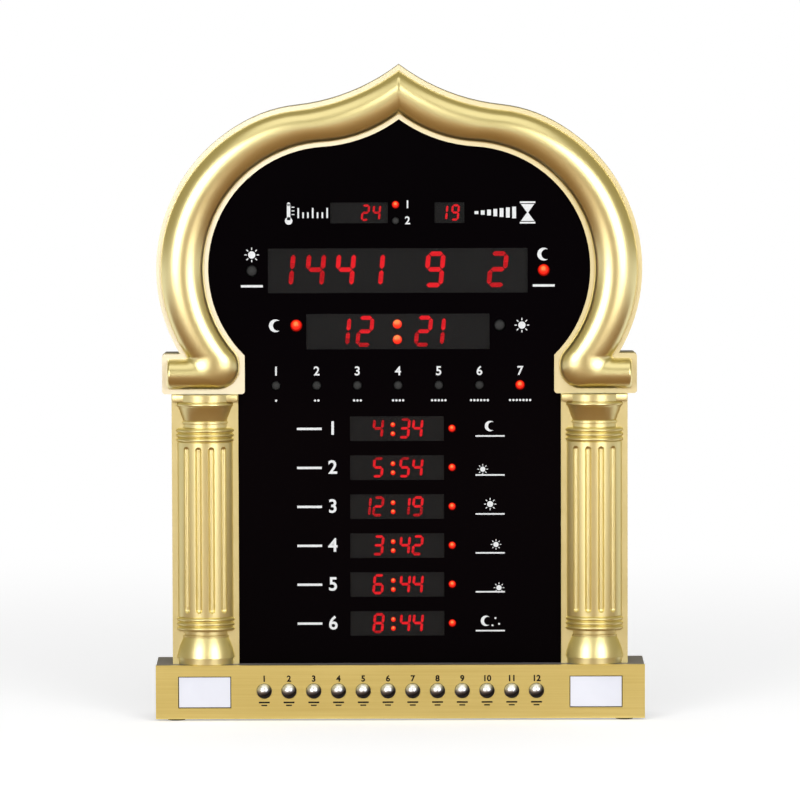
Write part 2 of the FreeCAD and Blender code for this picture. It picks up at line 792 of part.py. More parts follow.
def solid_block(x, y, z):
    """A box as a plain shape, from the low and high end of each axis."""
    low = FreeCAD.Vector(value(x[0]), value(y[0]), value(z[0]))
    high = FreeCAD.Vector(value(x[1]), value(y[1]), value(z[1]))
    size = high - low
    return Part.makeBox(size.x, size.y, size.z, low)


def front_bezel():
    """The flat gold lip, shoulders and rails, with a skirt and posts behind."""
    floor = value(BASE_TOP)
    past = value("cut_overlap")
    lip = prism(body_face(0, floor), LIP_FRONT, LIP_BACK)
    lip_hole = prism(opening_face(0, floor - past), f"{LIP_FRONT} - cut_overlap", f"{LIP_BACK} + cut_overlap")
    lip = lip.cut(lip_hole)
    step = solid_block(across("0", "base_width"), (f"{LIP_FRONT} - cut_overlap", RAIL_FRONT),
                       (f"{BASE_TOP} - cut_overlap", f"{BASE_TOP} + shoulder_bottom"))
    lip = lip.cut(step)
    wall = value("skirt_wall")
    skirt = prism(body_face(0, floor), LIP_BACK, SKIRT_BACK)
    room = prism(body_face(wall, floor + wall), f"{LIP_BACK} - cut_overlap", f"{SKIRT_BACK} + cut_overlap")
    skirt = skirt.cut(room)
    seat = value("panel_overlap + panel_clearance")
    skirt = skirt.cut(prism(opening_face(seat, floor - past), LIP_BACK, f"{PANEL_BACK} + panel_clearance"))
    posts = [solid_rod("post_radius", x, z, LIP_BACK, COVER_INNER) for x, z in cover_spots()]
    posts += [solid_rod("post_radius", x, z, LIP_BACK, BOARD_FRONT) for x, z in board_spots()]
    pilots = []
    for places, end in ((cover_spots(), COVER_INNER), (board_spots(), BOARD_FRONT)):
        pilots += [solid_rod(PILOT, x, z, f"{end} - screw_length", end) for x, z in places]
    return shaped("front_bezel", fused([lip, skirt] + posts).removeSplitter().cut(pilots))


def front_panel():
    """The black panel, with windows for the displays and holes for the lamps."""
    outline = opening_face(value("panel_overlap"), value(f"{BASE_TOP} + panel_clearance"))
    through = (f"{LIP_BACK} - cut_overlap", f"{PANEL_BACK} + cut_overlap")
    holes = [solid_block(across(x, f"{width} + 2 * filter_gap"), through,
                         across(z, f"{height} + 2 * filter_gap"))
             for width, height, x, z in windows()]
    holes += [solid_rod(f"{radius} + lamp_clearance", x, z, *through) for radius, x, z, lit in lamps()]
    return shaped("front_panel", prism(outline, LIP_BACK, PANEL_BACK).cut(holes))


def rear_cover():
    """The shell behind the bezel, with screw holes, a grille and keyholes."""
    floor = value(BASE_TOP)
    inset, wall = value("cover_inset"), value("cover_wall")
    shell = prism(body_face(inset, floor), SKIRT_BACK, COVER_BACK)
    room = prism(body_face(inset + wall, floor + wall), f"{SKIRT_BACK} - cut_overlap", COVER_INNER)
    shell = shell.cut(room)
    posts, holes = [], []
    for x, y in BODY_SCREWS:
        foot = FreeCAD.Vector(value(x), value(y), floor)
        posts.append(Part.makeCylinder(value("post_radius"), value("screw_length + post_floor"), foot, UP))
        holes.append(Part.makeCylinder(value(PILOT), value("screw_length + cut_overlap"), foot, UP))
    for x, z in main_spots():
        posts.append(solid_rod("post_radius", x, z, MAIN_BACK, COVER_INNER))
        holes.append(solid_rod(PILOT, x, z, MAIN_BACK, COVER_INNER))
    behind = f"{COVER_BACK} + cut_overlap"
    for x, z in cover_spots():
        holes.append(solid_rod(SCREW_HOLE, x, z, f"{COVER_INNER} - cut_overlap", behind))
        holes.append(solid_rod(HEAD_HOLE, x, z, f"{COVER_BACK} - head_height", behind))
    holes.append(solid_block(RIBBON_WAY, (f"{SKIRT_BACK} - cut_overlap", RIBBON_DEPTH[1]),
                             (f"{BASE_TOP} - cut_overlap", f"{BASE_TOP} + cover_wall + cut_overlap")))
    return shaped("rear_cover", fused([shell] + posts).cut(holes + grille_slots() + keyholes()))


THROUGH_COVER = (f"{COVER_INNER} - cut_overlap", f"{COVER_BACK} + cut_overlap")


def grille_slots():
    """Upright slots that fill a circle over the loudspeaker."""
    slots = []
    reach = value("speaker_radius - grille_margin")
    pitch = value("grille_pitch")
    count = int(reach // pitch)
    for number in range(-count, count + 1):
        half = math.sqrt(reach ** 2 - (number * pitch) ** 2)
        x = f"(speaker_across + grille_pitch * {number})"
        slots.append(solid_block(across(x, "grille_slot"), THROUGH_COVER,
                                 across(f"({BASE_TOP} + speaker_rise)", f"{2 * half}")))
    return slots


def keyholes():
    """Two keyholes for hanging: a round mouth with a slot above it."""
    shapes = []
    for side in (-1, 1):
        x = f"({side} * keyhole_across)"
        z = f"({BASE_TOP} + keyhole_rise)"
        depth = THROUGH_COVER
        shapes.append(solid_rod("keyhole_radius", x, z, *depth))
        shapes.append(solid_rod("keyhole_slot", x, f"{z} + keyhole_length", *depth))
        shapes.append(solid_block(across(x, "2 * keyhole_slot"), depth, (z, f"{z} + keyhole_length")))
    return shapes


def cover_screws():
    """Screws of the rear cover, sunk in its back."""
    seat = f"({COVER_BACK} - head_height)"
    screws = [screw(f"CoverScrew{n}", x, z, seat) for n, (x, z) in enumerate(cover_spots())]
    return gathered("cover_screws", screws)


# Displays: windows, filters, modules and lit segments.

ROW_ACROSS = "(panel_shift + row_shift)"


def row_height(number):
    """How high a display row is above the floor."""
    return f"({BASE_TOP} + row_first - row_pitch * {number})"


def window_sets():
    """The windows of each display: width, height, across and height above the floor."""
    return {
        "temp": [("temp_width", "small_height", "(panel_shift - temp_across)", SMALL_HEIGHT)],
        "count": [("count_width", "small_height", "(panel_shift + count_across)", SMALL_HEIGHT)],
        "date": [("date_width", "date_height", "panel_shift", DATE_HEIGHT)],
        "time": [("time_width", "time_height", "panel_shift", TIME_HEIGHT)],
        "row": [("row_width", "row_height", ROW_ACROSS, row_height(number)) for number in range(ROWS)],
    }


def windows():
    """All windows of the panel."""
    return [window for group in window_sets().values() for window in group]


def lamps():
    """All round lamps: radius, across, height above the floor and whether it is lit."""
    clock_height = f"({TIME_HEIGHT} + clock_lamp_lift)"
    places = [
        ("large_lamp", "(panel_shift - side_lamp_across)", DATE_HEIGHT, False),
        ("large_lamp", "(panel_shift + side_lamp_across)", DATE_HEIGHT, True),
        ("large_lamp", "(panel_shift - clock_lamp_across)", clock_height, True),
        ("large_lamp", "(panel_shift + clock_lamp_across)", clock_height, False),
        ("small_lamp", "(panel_shift - unit_lamp_across)", f"{SMALL_HEIGHT} + unit_lamp_spread", True),
        ("small_lamp", "(panel_shift - unit_lamp_across)", f"{SMALL_HEIGHT} - unit_lamp_spread", False),
    ]
    for number in range(DAYS):
        x = f"(panel_shift + day_pitch * {number - (DAYS - 1) / 2})"
        places.append(("medium_lamp", x, DAY_HEIGHT, number == DAYS - 1))
    places += [("small_lamp", "(panel_shift + row_lamp_across)", row_height(number), True)
               for number in range(ROWS)]
    return places


def display_filters():
    """Smoked inserts in the panel's windows."""
    return gathered("display_filters", [
        block(f"Filter{n}", across(x, width), (LIP_BACK, PANEL_BACK), across(z, height))
        for n, (width, height, x, z) in enumerate(windows())])


def display_module(kind):
    """The case of a display, or of six alike, between the board and the segments."""
    cases = []
    for number, (width, height, x, z) in enumerate(window_sets()[kind]):
        wide, tall = f"{width} + 2 * module_margin", f"{height} + 2 * module_margin"
        name = f"{kind.title()}Case{number}"
        cases.append(block(name, across(x, wide), (MODULE_FRONT, BOARD_FRONT), across(z, tall)))
    return gathered(f"{kind}_display", cases)


# The segments of each digit: a at the top, then clockwise, g in the middle.
GLYPHS = {"0": "abcdef", "1": "bc", "2": "abged", "3": "abgcd", "4": "fgbc",
          "5": "afgcd", "6": "afgedc", "7": "abc", "8": "abcdefg", "9": "abcdfg"}


def segment_corners(name, wide, tall, stroke, gap):
    """The six corners of one segment, about the digit's centre."""
    half_wide, half_tall, half = (wide - stroke) / 2, (tall - stroke) / 2, stroke / 2
    if name in "agd":
        rise = {"a": half_tall, "g": 0.0, "d": -half_tall}[name]
        reach = half_wide - gap
        return [(-reach, rise), (half - reach, rise + half), (reach - half, rise + half),
                (reach, rise), (reach - half, rise - half), (half - reach, rise - half)]
    x = half_wide if name in "bc" else -half_wide
    low, high = (gap, half_tall - gap) if name in "bf" else (gap - half_tall, -gap)
    return [(x, low), (x + half, low + half), (x + half, high - half),
            (x, high), (x - half, high - half), (x - half, low + half)]


# Shares of a digit's height: its width, a small digit's width, the stroke and the gap.
DIGIT_WIDTH = 0.54
SMALL_DIGIT_WIDTH = 0.5
STROKE = 0.127
SEGMENT_GAP = 0.016


def digit_prisms(digit, x, z, tall, narrow=DIGIT_WIDTH):
    """The lit segments of one digit as thin slanted prisms."""
    wide, stroke, gap = tall * narrow, tall * STROKE, tall * SEGMENT_GAP
    lean = math.tan(math.radians(value("digit_slant_angle")))
    prisms = []
    for name in GLYPHS[digit]:
        corners = segment_corners(name, wide, tall, stroke, gap)
        points = [spot(x + px + pz * lean, z + pz) for px, pz in corners]
        face = Part.Face(Part.makePolygon(points + points[:1]))
        prisms.append(prism(face, PANEL_BACK, MODULE_FRONT))
    return prisms


def dots(kind, centre, z):
    """The two dots between hours and minutes of one kind of display."""
    x, middle = f"({centre} + {kind}_dot_across)", f"({z} - {kind}_dot_drop)"
    heights = (f"{middle} + {kind}_dot_spread", f"{middle} - {kind}_dot_spread")
    return [solid_rod(f"{kind}_dot", x, height, PANEL_BACK, MODULE_FRONT) for height in heights]


# What the displays show, digit by digit, with each digit's place across.
DATE_SHOWN = (("1", -77.5), ("4", -56.5), ("4", -36.0), ("1", -16.1), ("9", 25.3), ("2", 68.5))
TIME_SHOWN = (("1", -38.4), ("2", -22.6), ("2", 17.6), ("1", 26.5))
ROWS_SHOWN = (" 434", " 554", "1219", " 342", " 644", " 844")
ROW_CELLS = (-21.6, -13.0, 5.2, 14.0)
SMALL_SHOWN = (("2", -22.0), ("4", -14.4), ("1", 31.6), ("9", 39.5))


def lit_segments():
    """Every segment that glows."""
    prisms = []
    middle, row_middle = value("panel_shift"), value(ROW_ACROSS)
    for digit, x in DATE_SHOWN:
        prisms += digit_prisms(digit, middle + x, value(f"{DATE_HEIGHT} + date_digit_lift"),
                               value("date_digit"))
    for digit, x in TIME_SHOWN:
        prisms += digit_prisms(digit, middle + x, value(TIME_HEIGHT), value("time_digit"))
    prisms += dots("time", "panel_shift", TIME_HEIGHT)
    for number, shown in enumerate(ROWS_SHOWN):
        height = row_height(number)
        for digit, x in zip(shown, ROW_CELLS):
            if digit.strip():
                prisms += digit_prisms(digit, row_middle + x, value(height), value("row_digit"))
        prisms += dots("row", ROW_ACROSS, height)
    for digit, x in SMALL_SHOWN:
        small = value("small_digit")
        prisms += digit_prisms(digit, middle + x, value(SMALL_HEIGHT), small, SMALL_DIGIT_WIDTH)
    return shaped("lit_segments", Part.makeCompound(prisms))


def lamp(name, radius, x, z):
    """A round lamp from the board through the panel, with a domed end."""
    centre = f"({LIP_BACK} - lamp_proud + {radius})"
    dome = ball(f"{name}Dome", radius, x, centre, z)
    return joined(name, [dome, rod(f"{name}Stem", radius, x, z, centre, BOARD_FRONT)])


def lamp_group(name, wanted):
    """The lamps that are lit, or those that are not."""
    picked = [(radius, x, z) for radius, x, z, lit in lamps() if lit == wanted]
    return gathered(name, [lamp(f"{name}{n}", *place) for n, place in enumerate(picked)])


# Boards and what they carry.

def display_board():
    """The large board behind the panel, on the bezel's posts."""
    plate = block("DisplayPlate", across("0", "2 * display_half"), (BOARD_FRONT, BOARD_BACK),
                  (f"{BASE_TOP} + display_low", f"{BASE_TOP} + display_top"))
    holes = [rod(f"DisplayHole{n}", SCREW_HOLE, x, z,
                 f"{BOARD_FRONT} - cut_overlap", f"{BOARD_BACK} + cut_overlap")
             for n, (x, z) in enumerate(board_spots())]
    return cut("display_board", plate, holes)


MAIN_BACK = f"({COVER_INNER} - main_standoff)"
MAIN_FRONT = f"({MAIN_BACK} - board_thickness)"


def main_spots():
    """Places of the main board's four posts: across and height."""
    aside, rise = "(main_width / 2 - main_corner)", "(main_height / 2 - main_corner)"
    return [(f"(main_across + {i} * {aside})", f"({BASE_TOP} + main_rise + {k} * {rise})")
            for i in (-1, 1) for k in (-1, 1)]


def main_board():
    """The board that runs the clock, on posts of the rear cover."""
    plate = block("MainPlate", across("main_across", "main_width"), (MAIN_FRONT, MAIN_BACK),
                  across(f"({BASE_TOP} + main_rise)", "main_height"))
    holes = [rod(f"MainHole{n}", SCREW_HOLE, x, z,
                 f"{MAIN_FRONT} - cut_overlap", f"{MAIN_BACK} + cut_overlap")
             for n, (x, z) in enumerate(main_spots())]
    return cut("main_board", plate, holes)


def board_chips():
    """Three chips on the main board."""
    return gathered("board_chips", [
        block(f"Chip{n}", across(f"(main_across + {n} * chip_side * 2)", "chip_side"),
              (f"{MAIN_FRONT} - chip_height", MAIN_FRONT),
              across(f"({BASE_TOP} + main_rise + main_height / 4)", "chip_side")) for n in (-1, 0, 1)])


CELL_PLACE = ("main_across", f"({BASE_TOP} + main_rise - main_height / 5)")
CELL_BACK = f"({MAIN_FRONT} - holder_wall)"


def cell_holder():
    """A round cup on the main board for the coin cell."""
    x, z = CELL_PLACE
    front = f"({CELL_BACK} - cell_height)"
    cup = rod("HolderCup", "cell_radius + holder_wall + panel_clearance", x, z, front, MAIN_FRONT)
    room = rod("HolderRoom", "cell_radius + panel_clearance", x, z, f"{front} - cut_overlap", CELL_BACK)
    return cut("cell_holder", cup, [room])


def coin_cell():
    """The back-up cell."""
    x, z = CELL_PLACE
    return rod("coin_cell", "cell_radius", x, z, f"{CELL_BACK} - cell_height", CELL_BACK)


def board_screws():
    """Screws of the display board, the main board and the keypad board."""
    screws = [screw(f"DisplayScrew{n}", x, z, BOARD_BACK) for n, (x, z) in enumerate(board_spots())]
    for side in (-1, 1):
        name = f"KeypadScrew{'Left' if side < 0 else 'Right'}"
        screws.append(screw(name, f"{side} * {KEYPAD_POST}", BUTTON_HEIGHT,
                            f"({KEYPAD_FRONT} + board_thickness)"))
    return gathered("board_screws", screws)


def ribbon_cable():
    """The flat cable from the display board down to the keypad board."""
    low = f"({BUTTON_HEIGHT} + keypad_height / 4)"
    drop = block("RibbonDrop", across("0", "ribbon_width"), (BOARD_BACK, RIBBON_TOP),
                 (low, f"{BASE_TOP} + display_low + ribbon_width / 2"))
    reach = block("RibbonReach", across("0", "ribbon_width"),
                  (f"{KEYPAD_FRONT} + board_thickness", RIBBON_TOP),
                  (low, f"{low} + ribbon_thickness"))
    return joined("ribbon_cable", [drop, reach])


# Loudspeaker, inlet and sensor.

SPEAKER_HEIGHT = f"({BASE_TOP} + speaker_rise)"
FLANGE_FRONT = f"({COVER_INNER} - speaker_flange)"
BASKET_FRONT = f"({FLANGE_FRONT} - speaker_basket)"


def speaker_frame():
    """Flange, basket and magnet of the loudspeaker."""
    x, z = "speaker_across", SPEAKER_HEIGHT
    flange = rod("SpeakerFlange", "speaker_radius", x, z, FLANGE_FRONT, COVER_INNER)
    basket = funnel("SpeakerBasket", ("magnet_radius", "speaker_radius - basket_wall"), x, z,
                    BASKET_FRONT, FLANGE_FRONT)
    magnet = rod("SpeakerMagnet", "magnet_radius", x, z, f"{BASKET_FRONT} - magnet_height", BASKET_FRONT)
    room = funnel("SpeakerRoom",
                  ("magnet_radius - 2 * basket_wall", "speaker_radius - 3 * basket_wall"), x, z,
                  f"{BASKET_FRONT} + basket_wall", FLANGE_FRONT)
    mouth = rod("SpeakerMouth", "speaker_radius - cone_edge", x, z, FLANGE_FRONT,
                f"{COVER_INNER} + cut_overlap")
    return cut("speaker_frame", joined("SpeakerWhole", [flange, basket, magnet]), [room, mouth])


def speaker_cone():
    """The paper cone, with its rim against the flange."""
    x, z = "speaker_across", SPEAKER_HEIGHT
    base = f"({FLANGE_FRONT} - speaker_basket / 2)"
    skin = funnel("ConeSkin", ("magnet_radius / 2", "speaker_radius - cone_edge"), x, z, base, FLANGE_FRONT)
    rim = rod("ConeRim", "speaker_radius - rim_edge", x, z, f"{FLANGE_FRONT} - cone_wall", FLANGE_FRONT)
    room = funnel("ConeRoom",
                  ("magnet_radius / 2 - cone_wall", "speaker_radius - cone_edge - cone_wall"), x, z,
                  f"{base} + cone_wall", f"{FLANGE_FRONT}")
    return cut("speaker_cone", joined("ConeWhole", [skin, rim]), [room])


def dc_jack():
    """The power inlet: a square case with a round well and a centre pin."""
    x, z = "jack_across", BUTTON_HEIGHT
    back = f"({HOUSING_BACK} - housing_wall)"
    case = block("JackCase", across(x, "jack_width"), (f"{back} - jack_length", back),
                 across(z, "jack_width"))
    well = rod("JackWell", "jack_bore", x, z, f"{back} - jack_length + jack_floor",
               f"{back} + cut_overlap")
    shell = cut("JackShell", case, [well])
    pin = rod("JackPin", "jack_pin", x, z, f"{back} - jack_length + jack_floor / 2", f"{back} - pin_recess")
    return joined("dc_jack", [shell, pin])


def temp_sensor():
    """A small bead that looks out through the base's back."""
    x, z = "sensor_across", BUTTON_HEIGHT
    inner = f"({HOUSING_BACK} - housing_wall)"
    bead = rod("SensorBead", "sensor_radius", x, z, inner, f"{HOUSING_BACK} - sensor_recess")
    collar = rod("SensorCollar", "sensor_radius * 2", x, z, f"{inner} - sensor_collar", inner)
    return joined("temp_sensor", [bead, collar])


# The arch moulding: a half-elliptic roll between an inner and an outer edge.

STATIONS = {"ogee": 12, "crown": 12, "side": 14, "fan": 30, "leg": 6}
ACROSS = 11


def moulding_edges(inset):
    """Matched stretches of the moulding's inner and outer edge, from the tip to the foot's end."""
    lip = value("lip_width") + inset
    in_ogee, in_side = inner_arcs(lip)
    out_ogee, out_crown, out_side = outer_arcs(lip)
    line_x = value("neck_half + neck_lip") + inset
    sole = value(f"{BASE_TOP} + shoulder_bottom + leg_drop") + inset
    top = value(f"{BASE_TOP} + shoulder_top - leg_cover") - inset
    end_x = value(f"{SHOULDER_HALF} - leg_margin") - inset
    blend, heel = value("neck_blend") - inset, value("heel_radius") - inset
    crease = value("crease_blend") + inset
    centre, radius = in_side[0], in_side[1]
    drop = math.sqrt((radius + blend) ** 2 - (line_x + blend - centre.x) ** 2)
    blend_centre = spot(line_x + blend, centre.z - drop)
    in_foot = math.degrees(math.atan2(blend_centre.x - centre.x, -drop))
    far, reach = out_side[0], out_side[1]
    crease_z = top + crease
    crease_x = far.x + math.sqrt((reach + crease) ** 2 - (crease_z - far.z) ** 2)
    out_foot = math.degrees(math.atan2(crease_x - far.x, crease_z - far.z))
    heel_centre = spot(line_x + heel, sole + heel)
    fan = [arc(blend_centre, blend, in_foot - 180, -90.0)]
    fan += chain([spot(line_x, blend_centre.z), spot(line_x, heel_centre.z)])
    fan.append(arc(heel_centre, heel, 270.0, 180.0))
    fan += chain([spot(heel_centre.x, sole), spot(crease_x, sole)])
    return {
        "ogee": ([arc(*in_ogee)], [arc(*out_ogee)]),
        "crown": ([arc(*in_side)], [arc(*out_crown), arc(*out_side)]),
        "side": ([arc(centre, radius, 90.0, in_foot)], [arc(far, reach, 90.0, out_foot)]),
        "fan": (fan, [arc(spot(crease_x, crease_z), crease, out_foot - 180, -180.0)]),
        "leg": (chain([spot(crease_x, sole), spot(end_x, sole)]),
                chain([spot(crease_x, top), spot(end_x, top)])),
    }


def moulding_rows(inset):
    """Pairs of edge points, one pair for each station along the moulding."""
    pairs = []
    for stretch, (inner, outer) in moulding_edges(inset).items():
        count = STATIONS[stretch]
        inside = Part.Wire(inner).discretize(Number=count + 1)
        outside = Part.Wire(outer).discretize(Number=count + 1)
        skip = 1 if pairs else 0
        pairs += list(zip(inside, outside))[skip:]
    return pairs


def moulding_half(inset):
    """The right half of the moulding as a solid, moved inwards on every side."""
    lip = value("lip_width")
    side_half = value("outer_shift + outer_radius - inner_shift - inner_radius") / 2 - lip
    relief = value("relief_ratio") * side_half - inset
    base = value(LIP_FRONT)
    grid = []
    for inner, outer in moulding_rows(inset):
        row = []
        for step in range(ACROSS):
            turn = math.pi * step / (ACROSS - 1)
            point = inner + (outer - inner) * ((1 - math.cos(turn)) / 2)
            row.append(FreeCAD.Vector(point.x, base - relief * math.sin(turn), point.z))
        grid.append(row)
    surface = Part.BSplineSurface()
    surface.interpolate(grid)
    skin = surface.toShape()
    low_u, high_u, low_v, high_v = surface.bounds()
    inner_edge = surface.vIso(low_v).toShape()
    outer_edge = surface.vIso(high_v).toShape()
    tip_edge = surface.uIso(low_u).toShape()
    end_edge = surface.uIso(high_u).toShape()
    tip_line = Part.LineSegment(grid[0][0], grid[0][-1]).toShape()
    end_line = Part.LineSegment(grid[-1][0], grid[-1][-1]).toShape()
    outline = Part.Wire(Part.__sortEdges__([inner_edge, end_line, outer_edge, tip_line]))
    faces = [skin, Part.Face(outline)]
    faces += [Part.Face(Part.Wire([tip_edge, tip_line])), Part.Face(Part.Wire([end_edge, end_line]))]
    shell = Part.makeShell(faces)
    shell.sewShape()
    solid = Part.makeSolid(shell)
    if solid.Volume < 0:
        solid.reverse()
    return solid


def arch_moulding():
    """The hollow gold roll round the arch, with its turned-out feet."""
    half = moulding_half(0.0).cut(moulding_half(value("moulding_wall")))
    return shaped("arch_moulding", half.fuse(half.mirror(FreeCAD.Vector(), FreeCAD.Vector(1, 0, 0))))


# Half columns.

def column_profile():
    """The outline of a column from its foot up, as edges about the upright axis."""
    plinth, shaft = value("plinth_radius"), value("shaft_radius")
    neck, band = value("neck_radius"), value("fillet_radius")
    ring, roll, swell = value("ring_radius"), value("roll_radius"), value("roll_bulge")
    edges = []
    here = spot(0, value(BASE_TOP))

    def line_to(radius, rise):
        """Adds a straight edge to a radius, some way further up."""
        nonlocal here
        there = spot(radius, here.z + rise)
        if (there - here).Length > 1e-6:
            edges.append(Part.LineSegment(here, there).toShape())
        here = there

    def bulge_to(radius, rise, out):
        """Adds an arc that swells out beyond its chord."""
        nonlocal here
        there = spot(radius, here.z + rise)
        across_chord = FreeCAD.Vector(there.z - here.z, 0, here.x - there.x).normalize()
        edges.append(Part.Arc(here, (here + there) * 0.5 + across_chord * out, there).toShape())
        here = there

    def rings():
        """Adds three rounded rings with grooves between them."""
        groove = ring - value("ring_groove")
        for number in range(3):
            line_to(groove, 0)
            bulge_to(groove, value("ring_height"), value("ring_groove"))

    line_to(plinth, 0)
    line_to(plinth, value("plinth_height"))
    line_to(ring, 0)
    bulge_to(band - value("bell_step"), value("bell_height"), value("bell_bulge"))
    line_to(band, 0)
    line_to(band, value("band_height"))
    line_to(neck, 0)
    line_to(neck, value("neck_height"))
    rings()
    line_to(shaft, 0)
    line_to(shaft, value(SHAFT_HEIGHT))
    rings()
    line_to(neck, 0)
    line_to(neck, value("neck_height"))
    line_to(band, 0)
    line_to(band, value("collar_height"))
    line_to(neck, 0)
    line_to(roll - swell, value("taper_height"))
    bulge_to(roll - swell, value("roll_height"), swell)
    line_to(shaft, 0)
    line_to(shaft, value("abacus_height"))
    line_to(0, 0)
    line_to(0, value(BASE_TOP) - here.z)
    return Part.Face(Part.Wire(edges))


COLUMN_HEIGHT = "(shoulder_bottom - column_gap)"
COLUMN_FOOT = "(plinth_height + bell_height + band_height + neck_height + 3 * ring_height)"
COLUMN_HEAD = ("(3 * ring_height + neck_height + collar_height + taper_height + roll_height"
               " + abacus_height)")
SHAFT_HEIGHT = f"({COLUMN_HEIGHT} - {COLUMN_FOOT} - {COLUMN_HEAD})"
FLUTE_TURNS = (-1.5, -0.5, 0.5, 1.5)


def column(name, side):
    """A fluted half column, hollow behind, standing in front of its rail."""
    rail = value(RAIL_FRONT)
    depth = value("column_axis")
    offset = side * value("column_offset")
    turned = column_profile().revolve(FreeCAD.Vector(), UP, 360)
    turned.translate(FreeCAD.Vector(offset, rail + depth, 0))
    top = value(f"{BASE_TOP} + {COLUMN_HEIGHT}")
    radius = value("flute_radius")
    low = value(f"{BASE_TOP} + {COLUMN_FOOT} + flute_margin") + radius
    high = low + value(f"{SHAFT_HEIGHT} - 2 * flute_margin") - 2 * radius
    flutes = []
    for turn in FLUTE_TURNS:
        angle = math.radians(turn * value("flute_step_angle"))
        reach = value("shaft_radius")
        x, y = offset + reach * math.sin(angle), rail + depth - reach * math.cos(angle)
        flutes.append(Part.makeCylinder(radius, high - low, FreeCAD.Vector(x, y, low), UP))
        flutes += [Part.makeSphere(radius, FreeCAD.Vector(x, y, end)) for end in (low, high)]
    abacus = solid_block(across(str(offset), "2 * abacus_half"),
                         (f"{RAIL_FRONT} - abacus_relief", RAIL_FRONT),
                         (f"{top} - abacus_height", f"{top}"))
    behind = solid_block(across(str(offset), "4 * shaft_radius"),
                         (RAIL_FRONT, f"{RAIL_FRONT} + 3 * shaft_radius"),
                         (f"{BASE_TOP} - cut_overlap", f"{top} + cut_overlap"))
    room = Part.makeCylinder(value("neck_radius - column_wall"),
                             top - value(BASE_TOP) - 2 * value("column_wall"),
                             FreeCAD.Vector(offset, rail + depth, value(f"{BASE_TOP} + column_wall")), UP)
    front = turned.cut([behind, room])
    return shaped(name, front.cut(flutes).fuse(abacus).cut(room).removeSplitter())


NODES = [base_front(), base_housing(), base_bottom(), base_screws(), rubber_feet()]
NODES += [label_plate("left_plate", -1), label_plate("right_plate", 1)]
NODES += [button(number) for number in range(1, BUTTONS + 1)]
NODES += [plunger(number) for number in range(1, BUTTONS + 1)]
NODES += [switch_bodies(), keypad_board()]
NODES += [front_bezel(), front_panel(), rear_cover(), cover_screws()]
NODES += [arch_moulding(), column("left_column", -1), column("right_column", 1)]
NODES += [display_filters()] + [display_module(kind) for kind in window_sets()]
NODES += [lit_segments(), lamp_group("lit_lamps", True), lamp_group("unlit_lamps", False)]
NODES += [display_board(), main_board(), board_chips(), cell_holder(), coin_cell()]
NODES += [board_screws(), ribbon_cable()]
NODES += [speaker_frame(), speaker_cone(), dc_jack(), temp_sensor()]
for node in NODES:
    node.Label = node.Name

doc.recompute()

for item in doc.Objects:
    if "Invalid" in item.State or "Error" in item.State:
        raise RuntimeError(f"{item.Label} failed: {item.State}")
for node in NODES:
    if node.Shape.isNull() or not node.Shape.isValid():
        raise RuntimeError(f"{node.Label} has no valid shape")

os.makedirs("parts", exist_ok=True)
for node in NODES:
    node.Shape.exportStep(f"parts/{node.Label}.step")
print(len(NODES), "sub-parts")
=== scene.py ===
import json
import math
import bmesh
import bpy
from mathutils import Matrix, Vector

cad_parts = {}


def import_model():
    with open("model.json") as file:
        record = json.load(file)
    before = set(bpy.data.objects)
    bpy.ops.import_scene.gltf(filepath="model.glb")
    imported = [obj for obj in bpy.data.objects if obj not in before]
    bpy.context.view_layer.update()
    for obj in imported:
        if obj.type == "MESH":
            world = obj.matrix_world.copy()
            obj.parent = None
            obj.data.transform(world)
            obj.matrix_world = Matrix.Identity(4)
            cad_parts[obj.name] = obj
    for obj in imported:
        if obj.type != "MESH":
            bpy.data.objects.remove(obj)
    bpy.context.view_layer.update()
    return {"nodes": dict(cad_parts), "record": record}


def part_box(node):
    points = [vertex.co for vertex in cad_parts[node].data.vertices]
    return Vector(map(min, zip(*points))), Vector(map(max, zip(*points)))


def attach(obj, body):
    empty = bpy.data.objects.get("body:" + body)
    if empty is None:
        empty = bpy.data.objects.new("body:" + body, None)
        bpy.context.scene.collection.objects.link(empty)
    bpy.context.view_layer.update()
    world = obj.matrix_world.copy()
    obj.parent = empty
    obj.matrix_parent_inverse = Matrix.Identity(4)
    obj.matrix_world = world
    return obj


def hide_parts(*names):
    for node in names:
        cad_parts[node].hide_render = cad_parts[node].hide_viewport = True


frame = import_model()

# Sizes are real ones, in millimetres times MM. X is across, Y runs back, Z is up.
MM = 0.001
FACE_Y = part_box("base_front")[0][1]
PANEL_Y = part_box("front_panel")[0][1]
LIP_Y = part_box("front_bezel")[0][1]
BASE_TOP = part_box("base_front")[1][2]
RAIL_SETBACK = 1.0 * MM
RAIL_Y = LIP_Y + RAIL_SETBACK
SHOULDER_Z = BASE_TOP + 186.2 * MM
# Across the gold plate, the painted highlight is strongest at the first of these and gives way to painted
# shade at the second.
LIT_SIDE_X = -80.0 * MM
SHADED_SIDE_X = 120.0 * MM
BUTTONS = 12
ROWS = 6
DAYS = 7


# Shader helpers

def new_material(name, **sockets):
    """A node material whose Principled shader has the given plain values."""
    material = bpy.data.materials.new(name)
    material.use_nodes = True
    shader = material.node_tree.nodes["Principled BSDF"]
    for socket, value in sockets.items():
        shader.inputs[socket.replace("_", " ")].default_value = value
    return material, material.node_tree, shader


def grain(tree, scale, stretch=(1.0, 1.0, 1.0), detail=4.0):
    """A noise texture in object space, stretched along the axes."""
    place = tree.nodes.new("ShaderNodeTexCoord")
    mapping = tree.nodes.new("ShaderNodeMapping")
    mapping.inputs["Scale"].default_value = stretch
    texture = tree.nodes.new("ShaderNodeTexNoise")
    texture.inputs["Scale"].default_value = scale
    texture.inputs["Detail"].default_value = detail
    tree.links.new(place.outputs["Object"], mapping.inputs["Vector"])
    tree.links.new(mapping.outputs["Vector"], texture.inputs["Vector"])
    return texture


